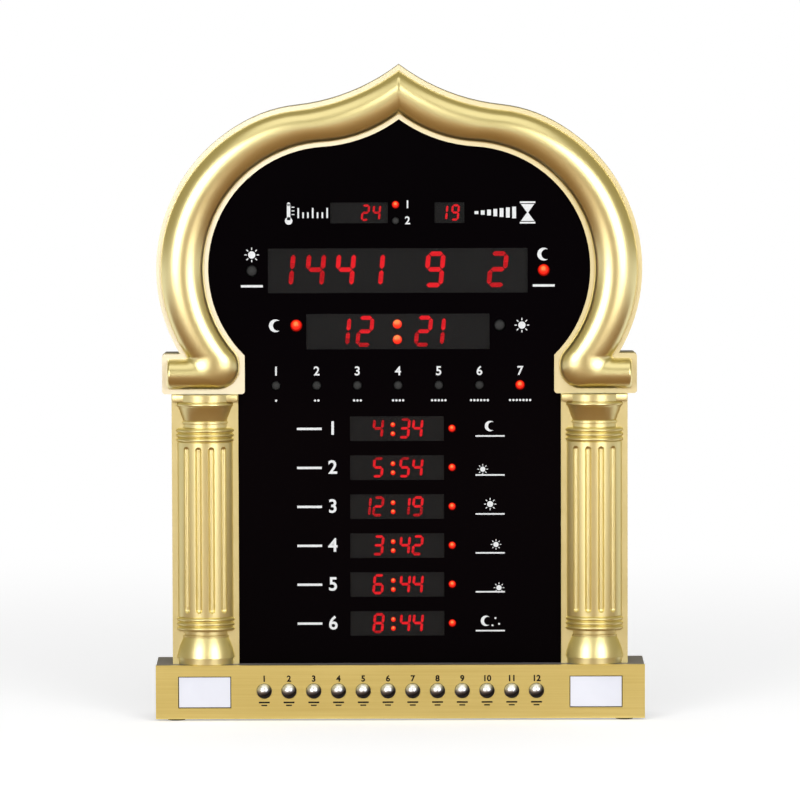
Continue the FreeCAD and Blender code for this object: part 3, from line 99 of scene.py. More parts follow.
def ramp_between(tree, source, low, high, start=0.35, end=0.65):
    """A colour ramp from one colour to another along a texture's value."""
    ramp = tree.nodes.new("ShaderNodeValToRGB")
    ramp.color_ramp.elements[0].position = start
    ramp.color_ramp.elements[1].position = end
    ramp.color_ramp.elements[0].color = (*low, 1.0)
    ramp.color_ramp.elements[1].color = (*high, 1.0)
    tree.links.new(source, ramp.inputs["Fac"])
    return ramp.outputs["Color"]


def rough_between(tree, shader, source, low, high):
    """Roughness that wanders between two values along a texture's value."""
    remap = tree.nodes.new("ShaderNodeMapRange")
    remap.inputs["To Min"].default_value = low
    remap.inputs["To Max"].default_value = high
    tree.links.new(source, remap.inputs["Value"])
    tree.links.new(remap.outputs["Result"], shader.inputs["Roughness"])


def bump_from(tree, shader, source, strength, distance):
    """A bump on the shader's normal from a texture's value."""
    bump = tree.nodes.new("ShaderNodeBump")
    bump.inputs["Strength"].default_value = strength
    bump.inputs["Distance"].default_value = distance
    tree.links.new(source, bump.inputs["Height"])
    tree.links.new(bump.outputs["Normal"], shader.inputs["Normal"])


def textured(name, low, high, rough, scale, bump=0.0, stretch=(1.0, 1.0, 1.0), **sockets):
    """A material with a colour drift, a roughness drift and a fine bump from one noise."""
    material, tree, shader = new_material(name, **sockets)
    noise = grain(tree, scale, stretch)
    tree.links.new(ramp_between(tree, noise.outputs["Fac"], low, high), shader.inputs["Base Color"])
    rough_between(tree, shader, noise.outputs["Fac"], *rough)
    if bump:
        bump_from(tree, shader, noise.outputs["Fac"], bump, 0.05 * MM)
    return material


def plated_gold(name, rough):
    """Satin gold plating with a faint drift in tone and in polish."""
    return textured(name, (0.79, 0.70, 0.36), (0.82, 0.73, 0.39), rough, 22.0, Metallic=1.0)


def brushed_gold():
    """Gold with fine streaks that run along the base."""
    streak_share = 0.55
    material, tree, shader = new_material("brushed_gold", Metallic=1.0)
    streaks = grain(tree, 900.0, (0.012, 1.0, 1.0), 6.0)
    clouds = grain(tree, 9.0, (1.0, 1.0, 2.2), 2.0)
    mixed = tree.nodes.new("ShaderNodeMath")
    mixed.operation = "MULTIPLY_ADD"
    mixed.inputs[1].default_value = streak_share
    tree.links.new(streaks.outputs["Fac"], mixed.inputs[0])
    half = tree.nodes.new("ShaderNodeMath")
    half.operation = "MULTIPLY"
    half.inputs[1].default_value = 1 - streak_share
    tree.links.new(clouds.outputs["Fac"], half.inputs[0])
    tree.links.new(half.outputs[0], mixed.inputs[2])
    colour = ramp_between(tree, mixed.outputs[0], (0.78, 0.64, 0.22), (0.88, 0.75, 0.30), 0.3, 0.7)
    tree.links.new(colour, shader.inputs["Base Color"])
    rough_between(tree, shader, streaks.outputs["Fac"], 0.34, 0.46)
    bump_from(tree, shader, streaks.outputs["Fac"], 0.25, 0.02 * MM)
    return material


def glowing(name, colour, strength, rough=0.3):
    """A lit plastic, a little uneven in tone."""
    material, tree, shader = new_material(name, Roughness=rough, Emission_Strength=strength)
    noise = grain(tree, 300.0)
    low = tuple(c * 0.92 for c in colour)
    glow = ramp_between(tree, noise.outputs["Fac"], low, colour)
    tree.links.new(glow, shader.inputs["Emission Color"])
    shader.inputs["Base Color"].default_value = (colour[0] * 0.5, colour[1], colour[2], 1.0)
    return material


def lamp_glow():
    """A lit lamp: a real red glow, with an orange painted highlight on the upper middle of its dome and
    deep red round it.
    """
    material, tree, shader = new_material("lit_lens", Roughness=0.25, Emission_Strength=1.0,
                                          Specular_IOR_Level=0.2)
    shader.inputs["Base Color"].default_value = (0.30, 0.01, 0.005, 1.0)
    # The glow follows which way the dome faces: the orange spot towards the upper middle is a painted
    # highlight on the real glow.
    shape = tree.nodes.new("ShaderNodeNewGeometry")
    facing = tree.nodes.new("ShaderNodeVectorMath")
    facing.operation = "DOT_PRODUCT"
    facing.inputs[1].default_value = (-0.08, -0.92, 0.38)
    tree.links.new(shape.outputs["Normal"], facing.inputs[0])
    ramp = tree.nodes.new("ShaderNodeValToRGB")
    ramp.color_ramp.elements[0].position = 0.25
    ramp.color_ramp.elements[0].color = (0.30, 0.002, 0.001, 1.0)
    ramp.color_ramp.elements[1].position = 1.0
    ramp.color_ramp.elements[1].color = (1.0, 0.30, 0.07, 1.0)
    for place, colour in ((0.72, (0.80, 0.012, 0.004)), (0.88, (1.0, 0.06, 0.012))):
        step = ramp.color_ramp.elements.new(place)
        step.color = (*colour, 1.0)
    tree.links.new(facing.outputs["Value"], ramp.inputs["Fac"])
    tree.links.new(ramp.outputs["Color"], shader.inputs["Emission Color"])
    return material


def chrome():
    """Polished chrome with a painted highlight on the upper left of a dome and painted shade below it."""
    material, tree, shader = new_material("chrome", Metallic=1.0)
    mist = grain(tree, 200.0)
    # The base colour is painted light: it follows which way the surface faces, white as a painted highlight
    # to the upper left, nearly black as painted shade below.
    shape = tree.nodes.new("ShaderNodeNewGeometry")
    facing = tree.nodes.new("ShaderNodeVectorMath")
    facing.operation = "DOT_PRODUCT"
    facing.inputs[1].default_value = (-0.25, -0.72, 0.65)
    tree.links.new(shape.outputs["Normal"], facing.inputs[0])
    colour = ramp_between(tree, facing.outputs["Value"], (0.03, 0.03, 0.04), (0.92, 0.95, 1.0), 0.36, 0.82)
    middle = colour.node.color_ramp.elements.new(0.60)
    middle.color = (0.20, 0.21, 0.27, 1.0)
    tree.links.new(colour, shader.inputs["Base Color"])
    rough_between(tree, shader, mist.outputs["Fac"], 0.33, 0.37)
    return material


def bezel_gold():
    """The flat gold plate with painted light: a painted highlight makes it pale round the arch, and painted
    shade makes it deeper to the right and on the rails.
    """
    material, tree, shader = new_material("bezel_gold", Metallic=1.0)
    mist = grain(tree, 60.0)
    # The pale tone is a painted highlight and the deep tone is painted shade.
    pale = ramp_between(tree, mist.outputs["Fac"], (0.86, 0.81, 0.64), (0.90, 0.85, 0.68))
    deep = ramp_between(tree, mist.outputs["Fac"], (0.67, 0.58, 0.29), (0.71, 0.62, 0.33))
    place = tree.nodes.new("ShaderNodeTexCoord")
    split = tree.nodes.new("ShaderNodeSeparateXYZ")
    tree.links.new(place.outputs["Object"], split.inputs[0])
    # Painted light: pale only above the shoulder, fading from the lit left to the shaded right.
    above = tree.nodes.new("ShaderNodeMath")
    above.operation = "GREATER_THAN"
    above.inputs[1].default_value = SHOULDER_Z
    tree.links.new(split.outputs["Z"], above.inputs[0])
    aside = tree.nodes.new("ShaderNodeMapRange")
    aside.inputs["From Min"].default_value = LIT_SIDE_X
    aside.inputs["From Max"].default_value = SHADED_SIDE_X
    aside.inputs["To Min"].default_value = 1.0
    aside.inputs["To Max"].default_value = 0.25
    tree.links.new(split.outputs["X"], aside.inputs["Value"])
    share = tree.nodes.new("ShaderNodeMath")
    share.operation = "MULTIPLY"
    tree.links.new(above.outputs[0], share.inputs[0])
    tree.links.new(aside.outputs["Result"], share.inputs[1])
    mixed = tree.nodes.new("ShaderNodeMix")
    mixed.data_type = "RGBA"
    tree.links.new(share.outputs[0], mixed.inputs[0])
    tree.links.new(deep, mixed.inputs[6])
    tree.links.new(pale, mixed.inputs[7])
    tree.links.new(mixed.outputs[2], shader.inputs["Base Color"])
    rough_between(tree, shader, mist.outputs["Fac"], 0.46, 0.52)
    return material


MATERIALS = {
    "moulding_gold": plated_gold("moulding_gold", (0.29, 0.31)),
    "plated_gold": bezel_gold(),
    "column_gold": plated_gold("column_gold", (0.33, 0.35)),
    "brushed_gold": brushed_gold(),
    "grey_plastic": textured("grey_plastic", (0.17, 0.16, 0.165), (0.21, 0.20, 0.205),
                             (0.42, 0.55), 900.0, 0.4),
    "black_plastic": textured("black_plastic", (0.02, 0.02, 0.02), (0.03, 0.03, 0.03),
                              (0.4, 0.55), 700.0, 0.3),
    "rubber": textured("rubber", (0.02, 0.02, 0.02), (0.035, 0.035, 0.035), (0.7, 0.85), 500.0, 0.4),
    "pearl_plastic": textured("pearl_plastic", (0.62, 0.63, 0.70), (0.67, 0.68, 0.75), (0.25, 0.35), 25.0),
    "chrome": chrome(),
    "plunger_plastic": textured("plunger_plastic", (0.03, 0.03, 0.03), (0.05, 0.05, 0.05),
                                (0.4, 0.5), 400.0),
    "green_board": textured("green_board", (0.02, 0.14, 0.05), (0.03, 0.18, 0.07), (0.3, 0.4), 300.0),
    "black_acrylic": textured("black_acrylic", (0.0012, 0.0008, 0.0012), (0.0016, 0.0010, 0.0016),
                              (0.06, 0.09), 4.0, Specular_IOR_Level=0.03),
    "smoked_acrylic": textured("smoked_acrylic", (0.010, 0.010, 0.0103), (0.012, 0.012, 0.0123),
                               (0.12, 0.16), 8.0, Specular_IOR_Level=0.1, Alpha=0.45),
    "red_glow": glowing("red_glow", (1.0, 0.006, 0.014), 1.35),
    "lit_lens": lamp_glow(),
    "dark_lens": textured("dark_lens", (0.026, 0.026, 0.026), (0.032, 0.032, 0.032), (0.5, 0.6), 200.0,
                          Specular_IOR_Level=0.1),
    "screw_steel": textured("screw_steel", (0.50, 0.50, 0.51), (0.60, 0.60, 0.61),
                            (0.25, 0.35), 500.0, Metallic=1.0),
    "cable_grey": textured("cable_grey", (0.38, 0.38, 0.39), (0.46, 0.46, 0.47), (0.5, 0.6), 500.0),
    "speaker_metal": textured("speaker_metal", (0.05, 0.05, 0.05), (0.08, 0.08, 0.08), (0.35, 0.5), 300.0),
    "speaker_paper": textured("speaker_paper", (0.03, 0.03, 0.03), (0.05, 0.05, 0.05),
                              (0.7, 0.9), 700.0, 0.4),
    "sensor_black": textured("sensor_black", (0.02, 0.02, 0.02), (0.03, 0.03, 0.03), (0.2, 0.3), 300.0),
    "white_ink": textured("white_ink", (0.56, 0.57, 0.58), (0.64, 0.65, 0.66), (0.4, 0.5), 600.0),
    # Black ink for the printed signs, also used as painted shade in the gaps round the plates.
    "black_ink": textured("black_ink", (0.004, 0.003, 0.003), (0.008, 0.007, 0.006), (0.5, 0.6), 600.0,
                          Specular_IOR_Level=0.1),
}


def dress_nodes():
    """Gives every CAD node the material of its slot in the record."""
    slots = {entry["node"]: entry["material_slot"] for entry in frame["record"]["subparts"]}
    for name, item in frame["nodes"].items():
        item.data.materials.clear()
        item.data.materials.append(MATERIALS[slots[name]])


# Mesh helpers

def new_piece(name, vertices, faces, material, slot, body="clock", crease=32.0):
    """A mesh piece with smooth shading between its sharper edges, riding on a body."""
    mesh = bpy.data.meshes.new(name)
    mesh.from_pydata([tuple(v) for v in vertices], [], faces)
    mesh.validate()
    shell = bmesh.new()
    shell.from_mesh(mesh)
    bmesh.ops.remove_doubles(shell, verts=shell.verts, dist=0.002 * MM)
    bmesh.ops.recalc_face_normals(shell, faces=shell.faces)
    shell.to_mesh(mesh)
    shell.free()
    mesh.shade_smooth()
    mesh.set_sharp_from_angle(angle=math.radians(crease))
    piece = bpy.data.objects.new(name, mesh)
    bpy.context.scene.collection.objects.link(piece)
    mesh.materials.append(MATERIALS[material])
    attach(piece, body)
    return piece


def strip_faces(rows, columns, closed_columns=False):
    """Quads over a grid of vertices, row by row."""
    faces = []
    last = columns if closed_columns else columns - 1
    for row in range(rows - 1):
        for column in range(last):
            after = (column + 1) % columns
            faces.append((row * columns + column, row * columns + after,
                          (row + 1) * columns + after, (row + 1) * columns + column))
    return faces


def turned(profile, centre, steps=72):
    """A solid of revolution about the front-to-back axis: profile of radius and depth."""
    vertices = []
    for radius, depth in profile:
        for step in range(steps):
            angle = 2 * math.pi * step / steps
            x, z = centre[0] + radius * math.cos(angle), centre[1] + radius * math.sin(angle)
            vertices.append((x, depth, z))
    faces = strip_faces(len(profile), steps, True)
    faces.append(tuple(range(steps)))
    faces.append(tuple((len(profile) - 1) * steps + step for step in range(steps)))
    return vertices, faces


def merged(parts):
    """Several vertex and face lists as one."""
    vertices, faces = [], []
    for part_vertices, part_faces in parts:
        shift = len(vertices)
        vertices += part_vertices
        faces += [tuple(index + shift for index in face) for face in part_faces]
    return vertices, faces


# The arch moulding, from the same arcs as its CAD solid.

ARCH_Z = BASE_TOP + 272.2 * MM
OUTER = {"shift": 52.4 * MM, "radius": 114.0 * MM, "start": 25.0,
         "crown": 95.0 * MM, "end": 6.0, "ogee": 140.0 * MM}
INNER = {"shift": 47.0 * MM, "radius": 83.9 * MM, "turn": 3.5, "ogee": 99.0 * MM}
LIP = 3.0 * MM
NECK_X = 109.7 * MM
SOLE_Z = BASE_TOP + 189.6 * MM
LEG_TOP_Z = BASE_TOP + 210.4 * MM
LEG_END_X = 158.9 * MM
NECK_BLEND = 14.0 * MM
HEEL = 15.0 * MM
CREASE = 1.5 * MM
RELIEF = 0.68
SIDE_HALF = (OUTER["shift"] + OUTER["radius"] - INNER["shift"] - INNER["radius"]) / 2 - LIP


def on_arc(centre, radius, angle):
    """The point of a circle at an angle from straight up, turning to the right."""
    turn = math.radians(angle)
    return centre[0] + radius * math.sin(turn), centre[1] + radius * math.cos(turn)


def arc_points(centre, radius, start, end, steps=200):
    """Points along an arc between two angles from straight up."""
    return [on_arc(centre, radius, start + (end - start) * step / steps) for step in range(steps + 1)]


def evenly(points, count):
    """Points at even distances along a line of points."""
    lengths = [0.0]
    for a, b in zip(points, points[1:]):
        lengths.append(lengths[-1] + math.dist(a, b))
    result, at = [], 0
    for step in range(count + 1):
        goal = lengths[-1] * step / count
        while at < len(lengths) - 2 and lengths[at + 1] < goal:
            at += 1
        span = lengths[at + 1] - lengths[at]
        share = (goal - lengths[at]) / span if span else 0.0
        a, b = points[at], points[at + 1]
        result.append((a[0] + (b[0] - a[0]) * share, a[1] + (b[1] - a[1]) * share))
    return result


def moulding_stretches():
    """Matched stretches of the inner and outer edge, from the tip to the foot's end."""
    side = (INNER["shift"], ARCH_Z)
    ogee = on_arc(side, INNER["radius"] + INNER["ogee"], INNER["turn"])
    ogee_radius = INNER["ogee"] - LIP
    tip = math.degrees(math.asin(ogee[0] / ogee_radius))
    far = (OUTER["shift"], ARCH_Z)
    crown = on_arc(far, OUTER["radius"] - OUTER["crown"], OUTER["start"])
    far_ogee = on_arc(crown, OUTER["crown"] + OUTER["ogee"], OUTER["end"])
    far_radius = OUTER["ogee"] + LIP
    far_tip = math.degrees(math.asin(far_ogee[0] / far_radius))
    radius, reach = INNER["radius"] + LIP, OUTER["radius"] - LIP
    drop = math.sqrt((radius + NECK_BLEND) ** 2 - (NECK_X + NECK_BLEND - side[0]) ** 2)
    blend = (NECK_X + NECK_BLEND, side[1] - drop)
    in_foot = math.degrees(math.atan2(blend[0] - side[0], -drop))
    crease_z = LEG_TOP_Z + CREASE
    crease_x = far[0] + math.sqrt((reach + CREASE) ** 2 - (crease_z - far[1]) ** 2)
    out_foot = math.degrees(math.atan2(crease_x - far[0], crease_z - far[1]))
    heel = (NECK_X + HEEL, SOLE_Z + HEEL)
    fan = arc_points(blend, NECK_BLEND, in_foot - 180, -90.0) + arc_points(heel, HEEL, 270.0, 180.0)
    fan.append((crease_x, SOLE_Z))
    end_x = LEG_END_X - CREASE
    return [
        (arc_points(ogee, ogee_radius, 180 + tip, 180 + INNER["turn"]),
         arc_points(far_ogee, far_radius, 180 + far_tip, 180 + OUTER["end"]), 50),
        (arc_points(side, radius, INNER["turn"], 90.0),
         arc_points(crown, OUTER["crown"] - LIP, OUTER["end"], OUTER["start"])
         + arc_points(far, reach, OUTER["start"], 90.0), 70),
        (arc_points(side, radius, 90.0, in_foot), arc_points(far, reach, 90.0, out_foot), 60),
        (fan, arc_points((crease_x, crease_z), CREASE, out_foot - 180, -180.0), 90),
        ([(crease_x, SOLE_Z), (end_x, SOLE_Z)], [(crease_x, LEG_TOP_Z), (end_x, LEG_TOP_Z)], 16),
    ]


def moulding_half(side):
    """One half of the moulding, mirrored where side is -1."""
    pairs = []
    for inner, outer, count in moulding_stretches():
        stations = list(zip(evenly(inner, count), evenly(outer, count)))
        pairs += [(a, b, 0.0) for a, b in (stations[1:] if pairs else stations)]
    for step in range(1, 9):
        turn = math.pi / 2 * step / 8
        x, inset = LEG_END_X - CREASE + CREASE * math.sin(turn), CREASE * (1 - math.cos(turn))
        pairs.append(((x, SOLE_Z + inset), (x, LEG_TOP_Z - inset), inset))
    across = 49
    vertices = []
    for inner, outer, inset in pairs:
        relief = RELIEF * SIDE_HALF - inset
        for step in range(across):
            turn = math.pi * step / (across - 1)
            share = (1 - math.cos(turn)) / 2
            x = inner[0] + (outer[0] - inner[0]) * share
            z = inner[1] + (outer[1] - inner[1]) * share
            vertices.append((side * x, LIP_Y - relief * math.sin(turn), z))
    faces = strip_faces(len(pairs), across)
    for row in range(len(pairs) - 1):
        first, following = row * across, (row + 1) * across
        faces.append((first, following, following + across - 1, first + across - 1))
    last = (len(pairs) - 1) * across
    faces.append(tuple(range(last, last + across)))
    return vertices, faces


def arch_moulding():
    """The gold roll round the arch, smooth along its whole length."""
    vertices, faces = merged([moulding_half(1), moulding_half(-1)])
    piece = new_piece("arch_roll", vertices, faces, "moulding_gold", "plated_gold", crease=40.0)
    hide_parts("arch_moulding")


# The fluted half columns.

COLUMN_X = 133.5 * MM
AXIS_BACK = 13.0 * MM
SHAFT_R = 23.0 * MM
RING_R = 23.8 * MM
NECK_R = 19.7 * MM
BAND_R = 20.4 * MM
ROLL_R = 23.5 * MM
PLINTH_R = 22.8 * MM
RING_HEIGHT = 3.2 * MM
RING_GROOVE = 1.3 * MM
COLUMN_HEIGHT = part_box("left_column")[1][2] - BASE_TOP
EDGE = 0.25 * MM
FLUTE_R = 2.1 * MM
FLUTE_MARGIN = 3.0 * MM
FLUTE_STEP = math.radians(22.5)
FLUTE_TURNS = (-1.5, -0.5, 0.5, 1.5)
PLINTH = 4.5 * MM
BELL = 14.0 * MM
BELL_BULGE = 0.5 * MM
BELL_STEP = 0.2 * MM
BAND = 1.6 * MM
NECK = 3.0 * MM
COLLAR = 1.8 * MM
TAPER = 9.6 * MM
ROLL = 3.6 * MM
ROLL_BULGE = 1.0 * MM
ABACUS = 5.0 * MM
ABACUS_HALF = 22.4 * MM
ABACUS_RELIEF = 4.5 * MM
ABACUS_EDGE = 0.5 * MM
LONG_STRETCH = 20.0 * MM
FLUTE_ROWS = 40
SHAFT_ROWS = 12
EDGE_ROWS = 4
ROUND_STEPS = 401


def column_outline():
    """Radius and height above the base, from the foot up, and the shaft's two ends."""
    points = []

    def level(radius, low, high):
        """A straight stretch with its two edges broken."""
        points.extend([(radius - EDGE, low), (radius, low + EDGE)])
        points.extend([(radius, high - EDGE), (radius - EDGE, high)])

    def swell(radius, top_radius, low, high, bulge, steps=14):
        """A stretch that swells out beyond its chord."""
        for step in range(steps + 1):
            share = step / steps
            out = bulge * math.sin(math.pi * share)
            points.append((radius + (top_radius - radius) * share + out, low + (high - low) * share))

    def rings(low):
        """Three rounded rings."""
        groove = RING_R - RING_GROOVE
        for _ in range(3):
            swell(groove, groove, low, low + RING_HEIGHT, RING_GROOVE, 10)
            low += RING_HEIGHT
        return low

    band = PLINTH + BELL
    neck = band + BAND
    level(PLINTH_R, 0.0, PLINTH)
    swell(RING_R, BAND_R - BELL_STEP, PLINTH, band, BELL_BULGE, 24)
    level(BAND_R, band, neck)
    level(NECK_R, neck, neck + NECK)
    low = rings(neck + NECK)
    high = COLUMN_HEIGHT - ABACUS - ROLL - TAPER - COLLAR - NECK - 3 * RING_HEIGHT
    level(SHAFT_R, low, high)
    top = rings(high)
    collar = top + NECK
    taper = collar + COLLAR
    roll = taper + TAPER
    abacus = roll + ROLL
    level(NECK_R, top, collar)
    level(BAND_R, collar, taper)
    points.extend([(NECK_R, taper), (ROLL_R - ROLL_BULGE, roll)])
    swell(ROLL_R - ROLL_BULGE, ROLL_R - ROLL_BULGE, roll, abacus, ROLL_BULGE)
    level(SHAFT_R, abacus, COLUMN_HEIGHT)
    return points, low, high


def flute_depth(angle, height, low, high):
    """How deep the flutes cut the shaft at an angle and a height."""
    deepest = 0.0
    bottom, top = low + FLUTE_MARGIN + FLUTE_R, high - FLUTE_MARGIN - FLUTE_R
    beyond = max(bottom - height, 0.0, height - top)
    for turn in FLUTE_TURNS:
        aside = SHAFT_R * (angle - turn * FLUTE_STEP)
        left = FLUTE_R ** 2 - aside ** 2 - beyond ** 2
        if left > 0:
            deepest = max(deepest, math.sqrt(left))
    return deepest


def column_heights(points, low, high):
    """The outline with more points on the shaft where the flutes begin and end."""
    fine = FLUTE_MARGIN + 2 * FLUTE_R
    plain = high - low - 2 * fine
    heights = [low + fine * step / FLUTE_ROWS for step in range(EDGE_ROWS, FLUTE_ROWS)]
    heights += [low + fine + plain * step / SHAFT_ROWS for step in range(SHAFT_ROWS)]
    heights += [high - fine + fine * step / FLUTE_ROWS for step in range(FLUTE_ROWS - EDGE_ROWS + 1)]
    result = []
    for point, following in zip(points, points[1:]):
        result.append(point)
        if following[1] - point[1] > LONG_STRETCH:
            result += [(SHAFT_R, height) for height in heights]
    result.append(points[-1])
    return result


def half_column(name, side):
    """A fluted half column that stands in front of its rail."""
    points, low, high = column_outline()
    rows = column_heights(points, low, high)
    columns = ROUND_STEPS
    vertices = []
    for radius, height in rows:
        reach = math.acos(min(1.0, AXIS_BACK / radius))
        fluted = radius == SHAFT_R and low < height < high
        for step in range(columns):
            angle = reach * (2 * step / (columns - 1) - 1)
            out = radius - (flute_depth(angle, height, low, high) if fluted else 0.0)
            vertices.append((side * COLUMN_X + out * math.sin(angle),
                             RAIL_Y + AXIS_BACK - out * math.cos(angle), BASE_TOP + height))
    faces = strip_faces(len(rows), columns)
    faces.append(tuple(range(columns)))
    faces.append(tuple(range((len(rows) - 1) * columns, len(rows) * columns)))
    for row in range(len(rows) - 1):
        first, following = row * columns, (row + 1) * columns
        faces.append((first, following, following + columns - 1, first + columns - 1))
    top = BASE_TOP + COLUMN_HEIGHT
    slab = rounded_box((side * COLUMN_X - ABACUS_HALF, RAIL_Y - ABACUS_RELIEF, top - ABACUS),
                       (side * COLUMN_X + ABACUS_HALF, RAIL_Y, top), ABACUS_EDGE)
    vertices, faces = merged([(vertices, faces), slab])
    piece = new_piece(f"{name}_fluted", vertices, faces, "column_gold", "plated_gold", crease=35.0)
    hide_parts(name)


def rounded_box(low, high, edge, steps=3):
    """A box with rounded edges, as vertices and faces."""
    shell = bmesh.new()
    bmesh.ops.create_cube(shell, size=1.0)
    for vertex in shell.verts:
        vertex.co = Vector([low[i] if vertex.co[i] < 0 else high[i] for i in range(3)])
    bmesh.ops.bevel(shell, geom=shell.edges[:], offset=edge, segments=steps, profile=0.5, affect="EDGES")
    vertices = [tuple(vertex.co) for vertex in shell.verts]
    shell.verts.index_update()
    faces = [tuple(vertex.index for vertex in face.verts) for face in shell.faces]
    shell.free()
    return vertices, faces


# Buttons and lamps

CAP_R = 5.0 * MM
CAP_RISE = 2.6 * MM
CAP_EDGE = 0.15 * MM
FLANGE_R = 6.2 * MM
FLANGE_FRONT_Y = FACE_Y + 3.3 * MM
FLANGE_BACK_Y = FACE_Y + 4.3 * MM
STEM_R = 1.6 * MM
TIP_R = 0.05 * MM


def dome_profile(radius, rise, tip, steps=14):
    """Radius and depth from the tip of a dome back to its rim."""
    curve = (radius ** 2 + rise ** 2) / (2 * rise)
    points = []
    for step in range(1, steps + 1):
        turn = math.asin(radius / curve) * step / steps
        points.append((curve * math.sin(turn), tip + curve * (1 - math.cos(turn))))
    return points


def buttons():
    """Twelve chrome domes with their flanges and stems, each on its own body."""
    for number in range(1, BUTTONS + 1):
        node = f"button_{number:02d}"
        low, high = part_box(node)
        centre = ((low[0] + high[0]) / 2, (low[2] + high[2]) / 2)
        dome = dome_profile(CAP_R - CAP_EDGE, CAP_RISE - 0.1 * MM, low[1])
        profile = [(TIP_R, low[1])] + dome
        profile += [(CAP_R, low[1] + CAP_RISE + 0.1 * MM), (CAP_R, FLANGE_FRONT_Y)]
        profile += [(FLANGE_R, FLANGE_FRONT_Y), (FLANGE_R, FLANGE_BACK_Y)]
        profile += [(STEM_R, FLANGE_BACK_Y), (STEM_R, high[1])]
        vertices, faces = turned(profile, centre)
        name, body = f"chrome_cap_{number:02d}", f"key_{number:02d}"
        piece = new_piece(name, vertices, faces, "chrome", "chrome", body)
        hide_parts(node)


SHIFT = -1.0 * MM
ROW_SHIFT = -0.85 * MM
DAY_PITCH = 27.9 * MM
DAY_Z = BASE_TOP + 191.75 * MM
TIME_Z = DAY_Z + 37.1 * MM
DATE_Z = TIME_Z + 41.85 * MM
SMALL_Z = DATE_Z + 39.65 * MM
CLOCK_LAMP_Z = TIME_Z + 4.15 * MM
ROW_FIRST_Z = BASE_TOP + 161.95 * MM
ROW_PITCH = 26.9 * MM
LARGE_LAMP_R = 4.0 * MM
DAY_LAMP_R = 3.2 * MM
SMALL_LAMP_R = 2.5 * MM
SIDE_X = 100.0 * MM
CLOCK_LAMP_X = 69.7 * MM
PAIR_X = -1.4 * MM
PAIR_RISE = 5.5 * MM
ROW_LAMP_X = 36.9 * MM
TIME_DOT_R = 3.2 * MM
TIME_DOT_X = -0.4 * MM
TIME_DOT_RISES = (5.0 * MM, -5.6 * MM)
ROW_DOT_R = 1.65 * MM
ROW_DOT_X = -2.8 * MM
ROW_DOT_RISES = (2.6 * MM, -3.6 * MM)
DOT_RISE = 0.9 * MM
DOT_FRONT = 0.7 * MM
DOT_BACK = 0.4 * MM
LENS_TIP_R = 0.03 * MM


def lamp_places():
    """All round lamps: radius, across, height and whether it is lit."""
    places = [
        (LARGE_LAMP_R, SHIFT - SIDE_X, DATE_Z, False),
        (LARGE_LAMP_R, SHIFT + SIDE_X, DATE_Z, True),
        (LARGE_LAMP_R, SHIFT - CLOCK_LAMP_X, CLOCK_LAMP_Z, True),
        (LARGE_LAMP_R, SHIFT + CLOCK_LAMP_X, CLOCK_LAMP_Z, False),
        (SMALL_LAMP_R, SHIFT + PAIR_X, SMALL_Z + PAIR_RISE, True),
        (SMALL_LAMP_R, SHIFT + PAIR_X, SMALL_Z - PAIR_RISE, False),
    ]
    places += [(DAY_LAMP_R, day_x(n), DAY_Z, n == DAYS - 1) for n in range(DAYS)]
    places += [(SMALL_LAMP_R, SHIFT + ROW_LAMP_X, row_z(n), True) for n in range(ROWS)]
    return places


def day_x(number):
    """How far across a weekday's lamp is."""
    return SHIFT + DAY_PITCH * (number - (DAYS - 1) / 2)


def row_z(number):
    """How high a display row is."""
    return ROW_FIRST_Z - ROW_PITCH * number


def lamps():
    """The round lamps, lit and unlit, as smooth domes."""
    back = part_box("lit_lamps")[1][1]
    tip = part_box("lit_lamps")[0][1]
    for wanted, name, material in ((True, "lit_lamps", "lit_lens"), (False, "unlit_lamps", "dark_lens")):
        parts = []
        for radius, x, z, lit in lamp_places():
            if lit == wanted:
                profile = [(LENS_TIP_R, tip)] + dome_profile(radius, radius * 0.999, tip) + [(radius, back)]
                parts.append(turned(profile, (x, z), 40))
        piece = new_piece(f"{name}_domes", *merged(parts), material, material)
        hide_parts(name)


def colon_domes():
    """The glowing dots between hours and minutes, as low domes on the windows."""
    places = [(TIME_DOT_R, SHIFT + TIME_DOT_X, TIME_Z + rise) for rise in TIME_DOT_RISES]
    row_x = SHIFT + ROW_SHIFT + ROW_DOT_X
    places += [(ROW_DOT_R, row_x, row_z(number) + rise) for number in range(ROWS) for rise in ROW_DOT_RISES]
    back = PANEL_Y + DOT_BACK
    tip = PANEL_Y - DOT_FRONT
    parts = []
    for radius, x, z in places:
        profile = [(LENS_TIP_R, tip)] + dome_profile(radius, DOT_RISE, tip) + [(radius, back)]
        parts.append(turned(profile, (x, z), 36))
    new_piece("colon_domes", *merged(parts), "lit_lens", "lit_lens")


# Printed signs: plain numbers and simple figures, in thin ink.

INK = 0.06 * MM
SIGN_BAR = 1.6 * MM
TEXT_WEIGHT = 0.018
BOLD = 0.035


def text_part(text, size, x, z, y, weight=TEXT_WEIGHT):
    """A number as flat upright shapes, centred on a place."""
    curve = bpy.data.curves.new("ink", "FONT")
    curve.body = text
    curve.size = size
    curve.align_x = "CENTER"
    curve.align_y = "CENTER"
    curve.extrude = INK / 2
    curve.resolution_u = 4
    curve.offset = size * weight
    holder = bpy.data.objects.new("ink", curve)
    mesh = bpy.data.meshes.new_from_object(holder)
    turn = Matrix.Translation((x, y, z)) @ Matrix.Rotation(math.pi / 2, 4, "X")
    vertices = [tuple(turn @ vertex.co) for vertex in mesh.vertices]
    faces = [tuple(face.vertices) for face in mesh.polygons]
    bpy.data.objects.remove(holder)
    bpy.data.meshes.remove(mesh)
    bpy.data.curves.remove(curve)
    return vertices, faces


